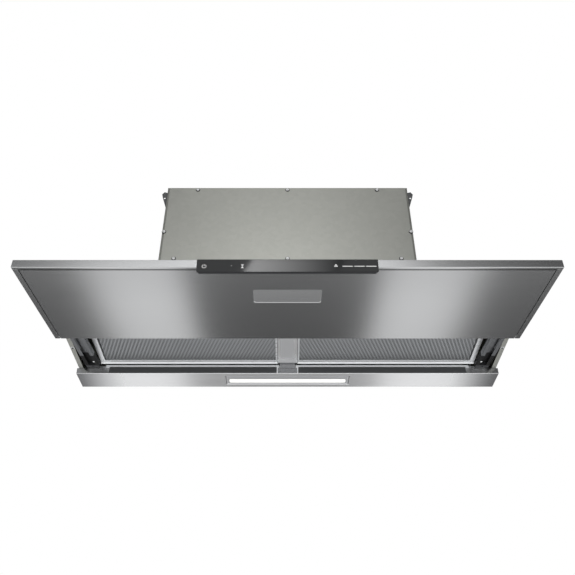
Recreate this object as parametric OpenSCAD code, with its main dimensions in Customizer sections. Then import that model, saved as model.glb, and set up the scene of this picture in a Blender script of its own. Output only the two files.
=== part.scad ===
// Pull out range hood for a wall cabinet, with its screen drawn out.
// Origin: centre line of the wall face, level with the underside of the screen.
// +Z is up, +Y points into the wall, +X is to the right seen from the front.

/* [Body] */
// Width of the screen and the lamp strip
hood_w = 895; // [795:5:1195]
// Depth of the fixed body from the wall to the front of the casing
body_d = 268; // [255:1:320]
// Height of the motor box top above the underside of the screen
body_h = 395.5; // [370:0.5:460]
// Height of the casing roof above the underside of the screen
roof_z = 62; // [58:1:80]
// Thickness of the steel sheet
sheet_t = 1; // [0.8:0.1:1.2]
// Angle at which the filters and the lamp strip fall towards the wall
fall_deg = 7.5; // [6:0.5:8.5]
// How far the casing sides stand in from the ends of the screen
side_inset = 3.5; // [3:0.5:6]
// Width of the turned-in flange under each casing side
side_flange = 9.5; // [6:0.5:12]

/* [Screen] */
// How far the screen travels in and out
travel = 145; // [120:1:146]
// How far the closed screen stands in front of the casing
screen_proud = 25; // [24:1:40]
// Thickness of the screen behind its front strip
screen_t = 7.5; // [6.5:0.1:8]
// Width of the band along each side of the screen
band_w = 9; // [6:0.5:14]
// Width of the groove between the band and the panel
groove_w = 1.6; // [1:0.1:2.5]
// Height of the front strip
front_h = 15; // [13:0.5:20]
// Depth of the front strip
front_d = 20; // [17:0.5:22]
// Width of the lip that the front strip turns under the screen
front_lip = 6; // [5:0.5:7]
// Width of the finger recess
cup_w = 120; // [80:1:160]
// Depth of the finger recess, front to back
cup_d = 43.5; // [30:0.5:60]
// Distance from the front of the screen to the finger recess
cup_from_front = 65.5; // [50:0.5:90]

/* [Control panel] */
// Width of the glass of the control panel
glass_w = 294; // [240:1:340]
// How far the glass hangs below the screen
glass_drop = 10; // [7:0.5:12]
// Thickness of the glass
glass_t = 2.4; // [2:0.1:4]
// How far the glass stands in front of the front strip
glass_proud = 1.2; // [0.6:0.1:2]
// Radius of the lower corners of the glass
glass_r = 3; // [1:0.5:5]
// Thickness of the circuit boards
board_t = 1.6; // [1:0.2:2]

/* [Lamp strip] */
// Depth of the lamp strip from the wall to its front
strip_d = 53; // [50:0.5:60]
// How far the front edge of the lamp strip lies below the screen
strip_drop = 3.3; // [2:0.1:4]
// Height of the upstand at the front of the lamp strip
strip_up = 14.2; // [12:0.1:15]
// Length of the lamp bezel
bezel_w = 264; // [220:1:340]
// Distance from the front edge of the strip to the lamp bezel
bezel_from_front = 10; // [8:0.5:12]
// Distance from the lamp bezel to the wall
bezel_from_wall = 9.5; // [8:0.5:12]
// Distance from each end of the lamp bezel to the diffuser
diffuser_in = 7; // [5:0.5:20]
// Distance from the front of the lamp bezel to the diffuser
diffuser_front_in = 10.5; // [6:0.5:12]
// Distance from the back of the lamp bezel to the diffuser
diffuser_back_in = 6; // [5:0.5:9]
// Half width of the gap in the dark rail at the divider
rail_gap = 23; // [20:0.5:26]
// Length left bare at each end of the dark rail
rail_bare = 69; // [40:1:90]

/* [Filters] */
// Distance from the end of the screen to each filter
filter_from_end = 51; // [49:0.5:60]
// Depth of the shelf between the front of the casing and the filters
shelf_d = 71.7; // [50:0.1:80]
// Thickness of each filter
filter_t = 9; // [8:0.5:10]
// Width of the filter frame along the outer and rear edges
filter_rim = 11; // [8:0.5:14]
// Width of the filter frame next to the divider
filter_inner_rim = 4.5; // [3.5:0.5:8]
// Width of the filter frame along its front edge
filter_front_rim = 20; // [18:0.5:24]
// Thickness of the metal mesh pack
mesh_t = 6; // [4:0.5:7]
// Half width of the divider between the filters
divider_half = 20.2; // [18:0.1:22]
// Height of the filter's rear edge above the underside of the screen
filter_z = 18.8; // [18.5:0.1:22]
// Radius of the pins that each filter swings on
pin_r = 2; // [1.5:0.1:2.5]
// How far the latch slides back
latch_travel = 4; // [3:0.5:5]
// Length of the latch
latch_w = 40; // [30:1:60]

/* [Slides] */
// Width of the fixed slide member
slide_w = 28; // [26:0.5:30]
// Height of the fixed slide member
slide_h = 9; // [8.5:0.1:9.3]
// Wall of the fixed and middle slide members
slide_wall = 1.1; // [1:0.05:1.2]

/* [Motor box] */
// Width of the motor box
box_w = 545; // [500:1:640]
// Depth of the motor box
box_d = 191; // [186:1:220]
// Height of the removable front cover
cover_h = 207; // [190:1:215]
// Radius of the cover screw heads
screw_r = 3.4; // [2.8:0.1:4]
// Distance of the outer top screws from the sides of the motor box
screw_top_from_side = 69; // [40:0.5:100]
// Distance of the outer bottom screws from the sides of the motor box
screw_low_from_side = 32.5; // [24:0.5:60]
// Height of the side screws above the underside of the screen
screw_side_z = 268; // [240:1:330]

/* [Blower] */
// Gap between the fan wheel and the cut-off of the scroll
fan_gap = 5; // [4:0.5:8]
// Depth of each blade
blade_d = 12; // [8:0.5:16]
// Number of blades
blades = 30; // [20:1:36]
// Half width of the scroll inside
scroll_half = 75; // [70:1:90]
// Growth of the scroll's radius from its cut-off to its outlet
scroll_growth = 13; // [8:0.5:16]
// Wall of the scroll
scroll_wall = 2; // [1.6:0.1:2.4]
// Height of the fan shaft above the underside of the screen
fan_z = 190; // [180:1:215]
// Gap around the motor in its inlet
motor_gap = 13; // [10:0.5:20]
// Radius of the motor shaft
shaft_r = 4; // [3:0.5:5]
// How far each inlet stands in from the blades
inlet_in = 2; // [1:0.5:5]

/* [Duct collar] */
// Outer radius of the collar that the duct slides over
collar_r = 74.5; // [60:0.5:76]
// Height of the collar above the motor box
collar_h = 26; // [22:0.5:28]
// Wall of the collar
collar_wall = 2; // [1.5:0.1:2.5]
// Distance from the wall to the middle of the collar
collar_from_wall = 80; // [79:0.5:90]
// Thickness of each flap
flap_t = 1.5; // [1:0.1:2]

/* [Fixing] */
// Thickness of the cabinet's side panels
cabinet_side = 18; // [16:1:22]
// Gap between each fixing bracket and the cabinet's side panel
cabinet_gap = 1; // [0.5:0.5:2]
// Distance from each end of the bracket to its holes
fix_end_in = 20; // [12:1:40]
// Distance between the bracket's holes, up and down
fix_dz = 32; // [24:1:40]
// Radius of the bracket's holes
fix_r = 2.5; // [2:0.25:3.5]
// Radius of the holes in the hanging ears
ear_hole_r = 2.2; // [1.8:0.1:2.6]

/* [Hidden] */
$fn = 96;

// Overrun of cuts past a face
over = 1;
// Gap that a moving or seated piece keeps to its neighbour
gap = 0.3;
// Radial clearance of a pin or shaft that turns in its hole
run_gap = 0.07;

half_w = hood_w / 2;
tan_fall = tan(fall_deg);
cos_fall = cos(fall_deg);
sin_fall = sin(fall_deg);

// Screen
screen_gap = 1;
strip_rail_t = 1;
screen_back = -(strip_d + strip_rail_t + screen_gap) - travel;
screen_front = -(body_d + screen_proud) - travel;
panel_t = 1;
groove_front = 2.4;
tray_front = screen_front + front_lip + 0.4 * sheet_t;
panel_front = screen_front + front_lip + groove_front;
panel_half = half_w - band_w - groove_w;
cup_front = screen_front + cup_from_front;
cup_back = cup_front + cup_d;
cup_wall = 1;
stiffener_w = 12;

// Control panel
glass_front = screen_front - glass_proud;
glass_back = glass_front + glass_t;
glass_half = glass_w / 2;
housing_inset = 0.5;
housing_back = screen_front + front_lip - gap;
board_margin = 16;
board_rise = 3;

// Lamp strip, whose underside falls from (-strip_d, -strip_drop)
strip_back_z = -strip_drop - tan_fall * (strip_d - sheet_t);
strip_back_up = 15;
strip_end_up = 9.2;
strip_end_w = 15;
side_edge_z = 9.4;
side_x = half_w - side_inset;
bezel_d = strip_d - bezel_from_front - bezel_from_wall;
diffuser_w = bezel_w - 2 * diffuser_in;
diffuser_d = bezel_d - diffuser_front_in - diffuser_back_in;
diffuser_at = diffuser_front_in + diffuser_d / 2;
bezel_lip = 2;
bezel_up = 9;
bezel_face = 0.8;
led_z = 6;

// Filters lie along the fall, in a frame whose origin is the middle of their rear lower edge
filter_rear_gap = 3;
filter_side_gap = 0.8;
filter_y = -(strip_d + filter_rear_gap);
filter_in = divider_half + filter_side_gap;
filter_out = half_w - filter_from_end;
filter_mid = (filter_in + filter_out) / 2;
crossbar_y = -body_d + sheet_t + shelf_d;
crossbar_gap = 1.5;
filter_d = (filter_y - crossbar_y - sheet_t) / cos_fall - crossbar_gap;
hinge_y = -5;
hinge_z = filter_t / 2;
pin_reach = 5;
latch_t = 3.2;
latch_d = 9;
latch_bite = 0.5;
latch_tongue = crossbar_gap + sheet_t + latch_bite;
thumb_w = 22;
thumb_d = 3;
thumb_drop = 3;

// Crossbar in front of the filters
crossbar_z = filter_z + filter_d * sin_fall - 1.8 * sheet_t;
divider_web_x = 16;
divider_web_t = 1.5;
divider_web_h = 12;
divider_len = (filter_y - crossbar_y - sheet_t - gap) / cos_fall;
divider_plate_half = 14.5;
divider_plate_from = 20;
divider_tab_half = 16.5;

// Slides
slide_lift = 1.5;
slide_behind = 13;
slide_side_gap = 1.5;
slide_bottom = screen_t + slide_lift;
slide_top = slide_bottom + slide_h;
slide_at = filter_out + slide_side_gap + slide_w / 2;
slide_back = -(strip_d + slide_behind);
slide_front = -body_d + 2 * sheet_t;
slide_slot = 6.5;
middle_slot = 5;
stem_half = 4;
end_block_len = 10;
carrier_gap = 1.5;
carrier_x = slide_at + slide_w / 2 + carrier_gap;
bearing_gap = 2;
bearing_x = filter_out + bearing_gap;
bearing_t = 2;
bearing_half = 6;

// Motor box
box_half = box_w / 2;
box_z0 = roof_z + sheet_t;
box_flange = 17;
box_foot = 12;
cover_inset = 1;
cover_top_gap = 0.5;
cover_lap = 14;
cover_z0 = body_h - cover_top_gap - cover_h;
apron_top = cover_z0 + cover_lap;
screw_top_in = 6.7;
screw_low_in = 8;
screw_side_in = 4.5;
screw_top_x = box_half - screw_top_from_side;
screw_low_x = box_half - screw_low_from_side;
screw_top_z = body_h - screw_top_in;
screw_low_z = cover_z0 + screw_low_in;
screw_side_x = box_half - screw_side_in;
screw_hole_r = 1.8;
screw_shank_r = 1.6;
screw_head_h = 1.8;
screw_len = 5;
// Places of the cover's screws, as x and z
screw_places = [[-screw_top_x, screw_top_z], [0, screw_top_z], [screw_top_x, screw_top_z],
                [-screw_side_x, screw_side_z], [screw_side_x, screw_side_z],
                [-screw_low_x, screw_low_z], [0, screw_low_z], [screw_low_x, screw_low_z]];

// Blower
scroll_clear = 4.5;
scroll_behind = 3;
scroll_r1 = box_d / 2 - sheet_t - scroll_clear;
scroll_r0 = scroll_r1 - scroll_growth;
fan_r = scroll_r0 - fan_gap;
fan_y = -(sheet_t + scroll_behind + scroll_wall + scroll_r1);
cut_deg = 135;
spiral_steps = 30;
scroll_side = 2.5;
scroll_top = body_h - sheet_t;
blade_in = fan_r - blade_d;
inlet_r = blade_in - inlet_in;
motor_r = inlet_r - motor_gap;
blade_t = 1.2;
blade_half = 68;
hub_half = 1.5;
ring_w = 2;
hub_boss_r = 12;
hub_boss_half = 8;
motor_x0 = 10;
inlet_t = 5.5;
inlet_w = 9;
spider_t = 3;
spider_arm_w = 16;
spider_x = scroll_half + scroll_side + inlet_t;
shaft_out = 14;

// Duct collar and flaps
collar_y = -collar_from_wall;
collar_flange_w = 4;
collar_flange_r = collar_r + collar_flange_w;
collar_flange_t = 2;
collar_in = collar_r - collar_wall;
flap_pin_r = 1.5;
flap_pin_up = 3.5;
flap_pin_z = body_h + flap_pin_up;
flap_rim_gap = 1;
flap_r = collar_in - flap_rim_gap;
flap_barrel_r = 3;
flap_gap = 3.4;
ledge_w = 4;
front_barrel_shares = [[-0.8, -0.42], [0.42, 0.8]];
rear_barrel_shares = [[-0.4, 0.4]];

// Electronics
case_x0 = -box_half + sheet_t;
case_d = 46;
case_w = 120;
case_front_in = 26;
case_y0 = -box_d + case_front_in;
case_h = 130;
case_from_top = 30.5;
case_z0 = body_h - case_from_top - case_h;
case_wall = 2;
lid_t = 2;
post_h = 6;
cap_r = 14;
cap_h = 60;
cap_flat_share = 0.97;
gland_x = -215;
gland_y = -120;
gland_r = 8;
gland_hex_r = 12;
gland_hex_h = 5;
gland_tail = 10;

// Fixing
bracket_t = 1.5;
cabinet_over = 5;
bracket_x = (hood_w + cabinet_over) / 2 - cabinet_side - cabinet_gap;
bracket_foot = 26;
bracket_front_in = 38;
bracket_wall_in = 30;
bracket_len = body_d - bracket_front_in - bracket_wall_in;
bracket_mid_y = -body_d + bracket_front_in + bracket_len / 2;
fix_dy = bracket_len - 2 * fix_end_in;
bracket_h = 62;
fix_up = 17;
fix_z0 = box_z0 + fix_up;
ear_t = 1.5;
ear_from_top = 34.5;
ear_z = body_h - ear_from_top;
ear_y = -box_d + ear_t;
ear_plate_d = 40;
ear_w = 11.5;
ear_up = 22;
ear_down = 18;
ear_hole_out = 4.5;
ear_hole_up = 4;
// Outline of the ear, as shares of its width and of its height above and below its middle
ear_up_shares = [[0, 0.91], [0.57, 1], [1, 0.7], [0.78, 0.23]];
ear_down_shares = [[0.13, -1], [0, -1]];

// Block between two corners, given as a range along each axis
module block(x, y, z) {
    translate([x[0], y[0], z[0]])
        cube([x[1] - x[0], y[1] - y[0], z[1] - z[0]]);
}

// Profile in Y and Z drawn out along X
module along_x(x) {
    translate([x[0], 0, 0])
        rotate([90, 0, 90])
            linear_extrude(x[1] - x[0])
                children();
}

// Profile in X and Z drawn out along Y
module along_y(y) {
    translate([0, y[1], 0])
        rotate([90, 0, 0])
            linear_extrude(y[1] - y[0])
                children();
}

// Round bar along X
module bar_x(r, x, y, z) {
    translate([x[0], y, z])
        rotate([0, 90, 0])
            cylinder(r = r, h = x[1] - x[0]);
}

// Round bar along Y
module bar_y(r, y, x, z) {
    translate([x, y[1], z])
        rotate([90, 0, 0])
            cylinder(r = r, h = y[1] - y[0]);
}

// Frame of the filters: origin at the middle of their rear lower edge
module on_fall() {
    translate([0, filter_y, filter_z])
        rotate([-fall_deg, 0, 0])
            children();
}

// Frame of the lamp strip: origin at its front lower edge
module on_strip() {
    translate([0, -strip_d, -strip_drop])
        rotate([-fall_deg, 0, 0])
            children();
}

// The piece on the right, or its mirror image on the left
module on_side(side) {
    if (side < 0) mirror([1, 0, 0]) children();
    else children();
}

module roof_panel() {
    color("#9a9b96")
        difference() {
            block([-side_x, side_x], [-body_d, 0], [roof_z, box_z0]);
            block([-box_half + 2 * box_foot, box_half - 2 * box_foot],
                  [-box_d + box_foot, -box_foot], [roof_z - over, box_z0 + over]);
        }
}

module back_wall() {
    color("#9a9b96")
        block([-side_x, side_x], [-sheet_t, 0], [strip_back_z + 2 * sheet_t, roof_z]);
}

module casing_front() {
    color("#9a9b96")
        block([-side_x, side_x], [-body_d, -body_d + sheet_t],
              [slide_top + 2 * sheet_t, roof_z]);
}

// Casing side, with a flange turned in along its falling lower edge
module side_wall(side) {
    front = -body_d + sheet_t;
    front_z = side_edge_z + tan_fall * (-strip_d - sheet_t - front);
    rear = -strip_d - sheet_t;
    color("#b9bbbb")
        on_side(side) {
            along_x([side_x - sheet_t, side_x])
                polygon([[front, front_z], [rear, side_edge_z], [-sheet_t, side_edge_z],
                         [-sheet_t, roof_z], [front, roof_z]]);
            along_x([side_x - side_flange, side_x])
                polygon([[front, front_z], [rear, side_edge_z],
                         [rear, side_edge_z + sheet_t], [front, front_z + sheet_t]]);
        }
}

module side_wall_left() {
    side_wall(-1);
}

module side_wall_right() {
    side_wall(1);
}

// Angle in front of the filters, with the slots that their latches spring into
module front_crossbar() {
    span = carrier_x - gap;
    slot = latch_w / 2 + 2 * gap;
    color("#6f7173") {
        difference() {
            block([-span, span], [crossbar_y, crossbar_y + sheet_t], [crossbar_z, roof_z]);
            for (side = [-1, 1])
                on_side(side)
                    on_fall()
                        block([filter_mid - slot, filter_mid + slot],
                              [-filter_d - latch_tongue - 2 * over, -filter_d],
                              [hinge_z - latch_t / 2 - 2 * gap, hinge_z + latch_t / 2 + 2 * gap]);
        }
        block([-span, span], [-body_d + sheet_t, crossbar_y],
              [crossbar_z, crossbar_z + sheet_t]);
    }
}

// Sides and back of the motor box, bent from one sheet
module box_wrap() {
    color("#8f908c") {
        block([-box_half, box_half], [-sheet_t, 0], [box_z0, scroll_top]);
        for (side = [-1, 1])
            on_side(side) {
                block([box_half - sheet_t, box_half], [-box_d, 0], [box_z0, scroll_top]);
                block([box_half - box_flange, box_half], [-box_d, -box_d + sheet_t],
                      [box_z0, scroll_top]);
                block([box_half - sheet_t, box_half + box_foot], [-box_d, -sheet_t],
                      [box_z0, box_z0 + sheet_t]);
            }
    }
}

module box_top() {
    flange_half = box_half - box_flange - gap;
    color("#8f908c")
        difference() {
            union() {
                block([-box_half, box_half], [-box_d, 0], [scroll_top, body_h]);
                difference() {
                    block([-flange_half, flange_half], [-box_d, -box_d + sheet_t],
                          [scroll_top - box_foot, scroll_top]);
                    for (x = [-screw_top_x, 0, screw_top_x])
                        bar_y(screw_hole_r, [-box_d - over, -box_d + sheet_t + over],
                              x, screw_top_z);
                }
            }
            translate([0, collar_y, scroll_top - over])
                cylinder(r = collar_in, h = sheet_t + 2 * over);
            translate([gland_x, gland_y, scroll_top - over])
                cylinder(r = gland_r + gap, h = sheet_t + 2 * over);
        }
}

module box_apron() {
    span = box_half - box_flange - gap;
    color("#8f908c")
        difference() {
            block([-span, span], [-box_d, -box_d + sheet_t], [box_z0, apron_top]);
            for (x = [-screw_low_x, 0, screw_low_x])
                bar_y(screw_hole_r, [-box_d - over, -box_d + sheet_t + over],
                      x, screw_low_z);
        }
}

module front_cover() {
    span = box_half - cover_inset;
    color("#a6a7a0")
        difference() {
            block([-span, span], [-box_d - sheet_t, -box_d], [cover_z0, cover_z0 + cover_h]);
            for (p = screw_places)
                bar_y(screw_hole_r, [-box_d - sheet_t - over, -box_d + over], p[0], p[1]);
        }
}

// The side screws are short, because they hold in the flange's pressed nuts
module cover_screws() {
    face = -box_d - sheet_t;
    color("#6b6c6a")
        for (p = screw_places) {
            deep = abs(p[0]) > box_half - box_flange ? sheet_t : screw_len;
            bar_y(screw_r, [face - screw_head_h, face], p[0], p[1]);
            bar_y(screw_shank_r, [face, face + deep], p[0], p[1]);
        }
}

// Ear that the hood hangs from while it is fitted, folded out from a plate on the box
module hanging_ear(side) {
    outline = concat([for (p = ear_up_shares) [p[0] * ear_w, p[1] * ear_up]],
                     [for (p = ear_down_shares) [p[0] * ear_w, p[1] * ear_down]]);
    color("#4c4d4e")
        on_side(side) {
            block([box_half, box_half + ear_t], [ear_y, ear_y + ear_plate_d],
                  [ear_z - ear_down, ear_z + ear_up_shares[0][1] * ear_up]);
            difference() {
                along_y([ear_y - ear_t, ear_y])
                    translate([box_half, ear_z])
                        polygon(outline);
                bar_y(ear_hole_r, [ear_y - ear_t - over, ear_y + over],
                      box_half + ear_hole_out, ear_z + ear_hole_up);
            }
        }
}

module hanging_ear_left() {
    hanging_ear(-1);
}

module hanging_ear_right() {
    hanging_ear(1);
}

// Angle that is screwed to the cabinet's side panel from inside
module cabinet_bracket(side) {
    y0 = bracket_mid_y - bracket_len / 2;
    y1 = bracket_mid_y + bracket_len / 2;
    color("#8a8c8e")
        on_side(side)
            difference() {
                union() {
                    block([bracket_x - bracket_foot, bracket_x], [y0, y1],
                          [box_z0, box_z0 + bracket_t]);
                    block([bracket_x - bracket_t, bracket_x], [y0, y1],
                          [box_z0, box_z0 + bracket_h]);
                }
                for (y = [-fix_dy / 2, fix_dy / 2])
                    for (z = [0, fix_dz])
                        bar_x(fix_r, [bracket_x - bracket_t - over, bracket_x + over],
                              bracket_mid_y + y, fix_z0 + z);
            }
}

module cabinet_bracket_left() {
    cabinet_bracket(-1);
}

module cabinet_bracket_right() {
    cabinet_bracket(1);
}

// Collar with a foot flange, a ledge that the flaps rest on and two bosses for their pin
module duct_collar() {
    ledge_top = flap_pin_z - flap_t / 2 - gap;
    boss_r = flap_pin_r + 2;
    color("#3b3c3e")
        translate([0, collar_y, 0])
            difference() {
                union() {
                    translate([0, 0, body_h])
                        rotate_extrude()
                            polygon([[collar_in, 0], [collar_flange_r, 0],
                                     [collar_flange_r, collar_flange_t],
                                     [collar_r, collar_flange_t], [collar_r, collar_h],
                                     [collar_in, collar_h]]);
                    translate([0, 0, body_h])
                        rotate_extrude()
                            polygon([[collar_in - ledge_w, 0], [collar_in + over / 2, 0],
                                     [collar_in + over / 2, ledge_top - body_h],
                                     [collar_in - ledge_w, ledge_top - body_h]]);
                }
                bar_x(flap_pin_r + run_gap, [-collar_r - over, collar_r + over], 0, flap_pin_z);
                for (side = [-1, 1])
                    on_side(side)
                        bar_x(boss_r, [collar_in - ledge_w - over, collar_in - gap],
                              0, flap_pin_z);
            }
}

module flap_pin() {
    color("#c9cacc")
        bar_x(flap_pin_r, [-collar_in - gap, collar_in + gap], collar_y, flap_pin_z);
}

// Half disc with barrels that turn on the pin; spans are the barrels' ranges along X
module flap(dir, spans) {
    color("#56585b")
        translate([0, collar_y, flap_pin_z])
            difference() {
                union() {
                    difference() {
                        translate([0, 0, -flap_t / 2])
                            cylinder(r = flap_r, h = flap_t);
                        block([-flap_r - over, flap_r + over],
                              dir > 0 ? [-flap_r - over, flap_gap] : [-flap_gap, flap_r + over],
                              [-flap_t, flap_t]);
                    }
                    for (s = spans) {
                        bar_x(flap_barrel_r, s, 0, 0);
                        block(s, dir > 0 ? [0, flap_gap + over] : [-flap_gap - over, 0],
                              [-flap_t / 2, flap_t / 2]);
                    }
                }
                bar_x(flap_pin_r + run_gap, [-flap_r - over, flap_r + over], 0, 0);
            }
}

module flap_front() {
    flap(-1, flap_r * front_barrel_shares);
}

module flap_rear() {
    flap(1, flap_r * rear_barrel_shares);
}

// Spiral of the scroll from the cut-off round to the outlet, grown outwards by a wall
function spiral(wall) = [
    for (i = [0 : spiral_steps])
        let (a = cut_deg + (360 - cut_deg) * i / spiral_steps,
             r = scroll_r0 + (scroll_r1 - scroll_r0) * i / spiral_steps + wall)
        [fan_y + r * cos(a), fan_z + r * sin(a)]
];

module scroll_outline(wall, top) {
    cut_y = fan_y + (scroll_r0 + wall) * cos(cut_deg);
    polygon(concat(spiral(wall), [[fan_y + scroll_r1 + wall, top], [cut_y, top]]));
}

// One moulded half of the scroll, with the inlet in its side
module scroll_shell(side) {
    color("#50545a")
        on_side(side)
            difference() {
                along_x([0, scroll_half + scroll_side])
                    scroll_outline(scroll_wall, scroll_top);
                along_x([-over, scroll_half])
                    scroll_outline(0, scroll_top + over);
                bar_x(inlet_r + inlet_w / 3, [scroll_half - over, scroll_half + scroll_side + over],
                      fan_y, fan_z);
            }
}

module scroll_shell_left() {
    scroll_shell(-1);
}

module scroll_shell_right() {
    scroll_shell(1);
}

// Bell-mouthed rings on both sides of the scroll
module inlet_rings() {
    x0 = scroll_half + scroll_side;
    color("#2f3134")
        for (side = [-1, 1])
            on_side(side)
                translate([x0, fan_y, fan_z])
                    rotate([0, 90, 0])
                        rotate_extrude()
                            polygon([[inlet_r, 0], [inlet_r + inlet_w, 0],
                                     [inlet_r + inlet_w, inlet_t / 2],
                                     [inlet_r + inlet_w / 2, inlet_t],
                                     [inlet_r + inlet_w / 4, inlet_t],
                                     [inlet_r, inlet_t * 3 / 4]]);
}

// Double-inlet wheel: a middle disc, blades through it and a ring at each end
module fan_wheel() {
    color("#c8ccd0")
        translate([0, fan_y, fan_z])
            difference() {
                union() {
                    bar_x(fan_r, [-hub_half, hub_half], 0, 0);
                    bar_x(hub_boss_r, [-hub_boss_half, hub_boss_half], 0, 0);
                    for (side = [-1, 1])
                        on_side(side)
                            difference() {
                                bar_x(fan_r, [blade_half - ring_w, blade_half], 0, 0);
                                bar_x(blade_in, [blade_half - ring_w - over, blade_half + over],
                                      0, 0);
                            }
                    for (i = [0 : blades - 1])
                        rotate([i * 360 / blades, 0, 0])
                            block([-blade_half + ring_w / 2, blade_half - ring_w / 2],
                                  [blade_in + 0.5 * blade_t, fan_r - 0.5 * blade_t],
                                  [-blade_t / 2, blade_t / 2]);
                }
                bar_x(shaft_r + run_gap, [-hub_boss_half - over, hub_boss_half + over], 0, 0);
            }
}

module motor_shaft() {
    color("#d5d6d8")
        bar_x(shaft_r, [-shaft_out, spider_x + spider_t + shaft_out / 2], fan_y, fan_z);
}

module motor() {
    color("#7c7f83")
        difference() {
            union() {
                bar_x(motor_r, [motor_x0, spider_x - spider_t], fan_y, fan_z);
                bar_x(motor_r - 2 * spider_t, [spider_x - spider_t, spider_x], fan_y, fan_z);
            }
            bar_x(shaft_r + run_gap, [motor_x0 - over, spider_x + over], fan_y, fan_z);
        }
}

// Spider with three arms that carries the motor in the right inlet
module motor_spider() {
    color("#a9abad")
        translate([0, fan_y, fan_z])
            difference() {
                union() {
                    bar_x(motor_r - spider_t, [spider_x, spider_x + spider_t], 0, 0);
                    for (i = [0 : 2])
                        rotate([i * 360 / 3 + 90, 0, 0])
                            block([spider_x, spider_x + spider_t],
                                  [0, inlet_r + inlet_w / 2],
                                  [-spider_arm_w / 2, spider_arm_w / 2]);
                }
                bar_x(shaft_r + gap, [spider_x - over, spider_x + spider_t + over], 0, 0);
            }
}

// Open case on the left side of the motor box, with posts for the board
module electronics_tray() {
    color("#d6d8d9") {
        difference() {
            block([case_x0, case_x0 + case_d], [case_y0, case_y0 + case_w],
                  [case_z0, case_z0 + case_h]);
            block([case_x0 + case_wall, case_x0 + case_d + over],
                  [case_y0 + case_wall, case_y0 + case_w - case_wall],
                  [case_z0 + case_wall, case_z0 + case_h - case_wall]);
        }
        for (y = [case_y0 + case_w / 6, case_y0 + case_w * 5 / 6])
            for (z = [case_z0 + case_h / 6, case_z0 + case_h * 5 / 6])
                bar_x(post_h / 2, [case_x0, case_x0 + case_wall + post_h], y, z);
    }
}

module electronics_lid() {
    color("#c3c6c8")
        block([case_x0 + case_d, case_x0 + case_d + lid_t], [case_y0, case_y0 + case_w],
              [case_z0, case_z0 + case_h]);
}

module main_board() {
    x0 = case_x0 + case_wall + post_h;
    color("#1f6b3a")
        block([x0, x0 + board_t],
              [case_y0 + 3 * case_wall, case_y0 + case_w - 3 * case_wall],
              [case_z0 + 3 * case_wall, case_z0 + case_h - 3 * case_wall]);
}

module capacitor() {
    x0 = case_x0 + case_wall + post_h + board_t + cap_r * cap_flat_share;
    z0 = case_z0 + (case_h - cap_h) / 2;
    color("#e4e4e0")
        difference() {
            translate([x0, case_y0 + case_w / 2, z0])
                cylinder(r = cap_r, h = cap_h);
            block([x0 - 2 * cap_r, x0 - cap_r * cap_flat_share],
                  [case_y0, case_y0 + case_w], [z0 - over, z0 + cap_h + over]);
        }
}

// Gland that the supply lead would pass through
module cable_gland() {
    color("#2b2c2e")
        translate([gland_x, gland_y, 0])
            difference() {
                union() {
                    translate([0, 0, body_h])
                        cylinder(r = gland_hex_r, h = gland_hex_h, $fn = 6);
                    translate([0, 0, scroll_top - gland_tail])
                        cylinder(r = gland_r, h = gland_tail + 2 * gland_hex_h);
                }
                translate([0, 0, scroll_top - gland_tail - over])
                    cylinder(r = gland_r / 2, h = gland_tail + 2 * gland_hex_h + 2 * over);
            }
}

// Folded strip under the rear of the hood, with its ends closed and a cut-out for the lamp
module lamp_strip() {
    outer = [[-strip_d, strip_up], [-strip_d, -strip_drop], [-sheet_t, strip_back_z],
             [-sheet_t, strip_back_up], [-2 * sheet_t, strip_back_up],
             [-2 * sheet_t, strip_back_z + 1.14 * sheet_t],
             [-strip_d + sheet_t, -strip_drop + 0.88 * sheet_t],
             [-strip_d + sheet_t, strip_up]];
    end = [[-strip_d, strip_end_up], [-strip_d, -strip_drop], [-sheet_t, strip_back_z],
           [-sheet_t, strip_end_up]];
    color("#c6c7c8")
        difference() {
            union() {
                along_x([-half_w, half_w])
                    polygon(outer);
                for (side = [-1, 1])
                    on_side(side)
                        along_x([half_w - sheet_t, half_w])
                            polygon(end);
            }
            for (side = [-1, 1])
                on_side(side)
                    block([half_w - strip_end_w, half_w + over],
                          [-strip_d - over, -over / 2],
                          [strip_end_up, strip_back_up + over]);
            on_strip()
                block([-bezel_w / 2, bezel_w / 2],
                      [bezel_from_front, bezel_from_front + bezel_d], [-over, 3 * sheet_t]);
        }
}

// Dark rail in front of the upstand, in two lengths
module strip_rail() {
    color("#3c3d3f")
        for (side = [-1, 1])
            on_side(side)
                block([rail_gap, half_w - rail_bare], [-strip_d - strip_rail_t, -strip_d],
                      [-strip_drop + 1.3 * sheet_t, strip_up - 2.7 * sheet_t]);
}

// Stadium of the diffuser, in the frame of the lamp strip
module diffuser_outline(grow) {
    r = diffuser_d / 2 + grow;
    reach = (diffuser_w - diffuser_d) / 2;
    translate([0, bezel_from_front + diffuser_at]) {
        square([2 * reach, 2 * r], center = true);
        for (x = [-reach, reach])
            translate([x, 0])
                circle(r = r);
    }
}

module lamp_bezel() {
    x1 = bezel_w / 2 - gap / 2;
    y0 = bezel_from_front + gap / 2;
    y1 = bezel_from_front + bezel_d - gap / 2;
    color("#d9dadb")
        on_strip()
            difference() {
                union() {
                    block([-x1, x1], [y0, y1], [0, bezel_up]);
                    block([-x1 - bezel_lip, x1 + bezel_lip],
                          [y0 - bezel_lip, y1 + bezel_lip],
                          [1.05 * sheet_t, 1.05 * sheet_t + bezel_lip]);
                }
                block([-x1 + bezel_lip, x1 - bezel_lip], [y0 + bezel_lip, y1 - bezel_lip],
                      [-over, bezel_face]);
                block([-x1 + bezel_lip, x1 - bezel_lip], [y0 + bezel_lip, y1 - bezel_lip],
                      [3 * bezel_face, bezel_up + over]);
                translate([0, 0, -over])
                    linear_extrude(bezel_up)
                        diffuser_outline(0);
            }
}

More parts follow.
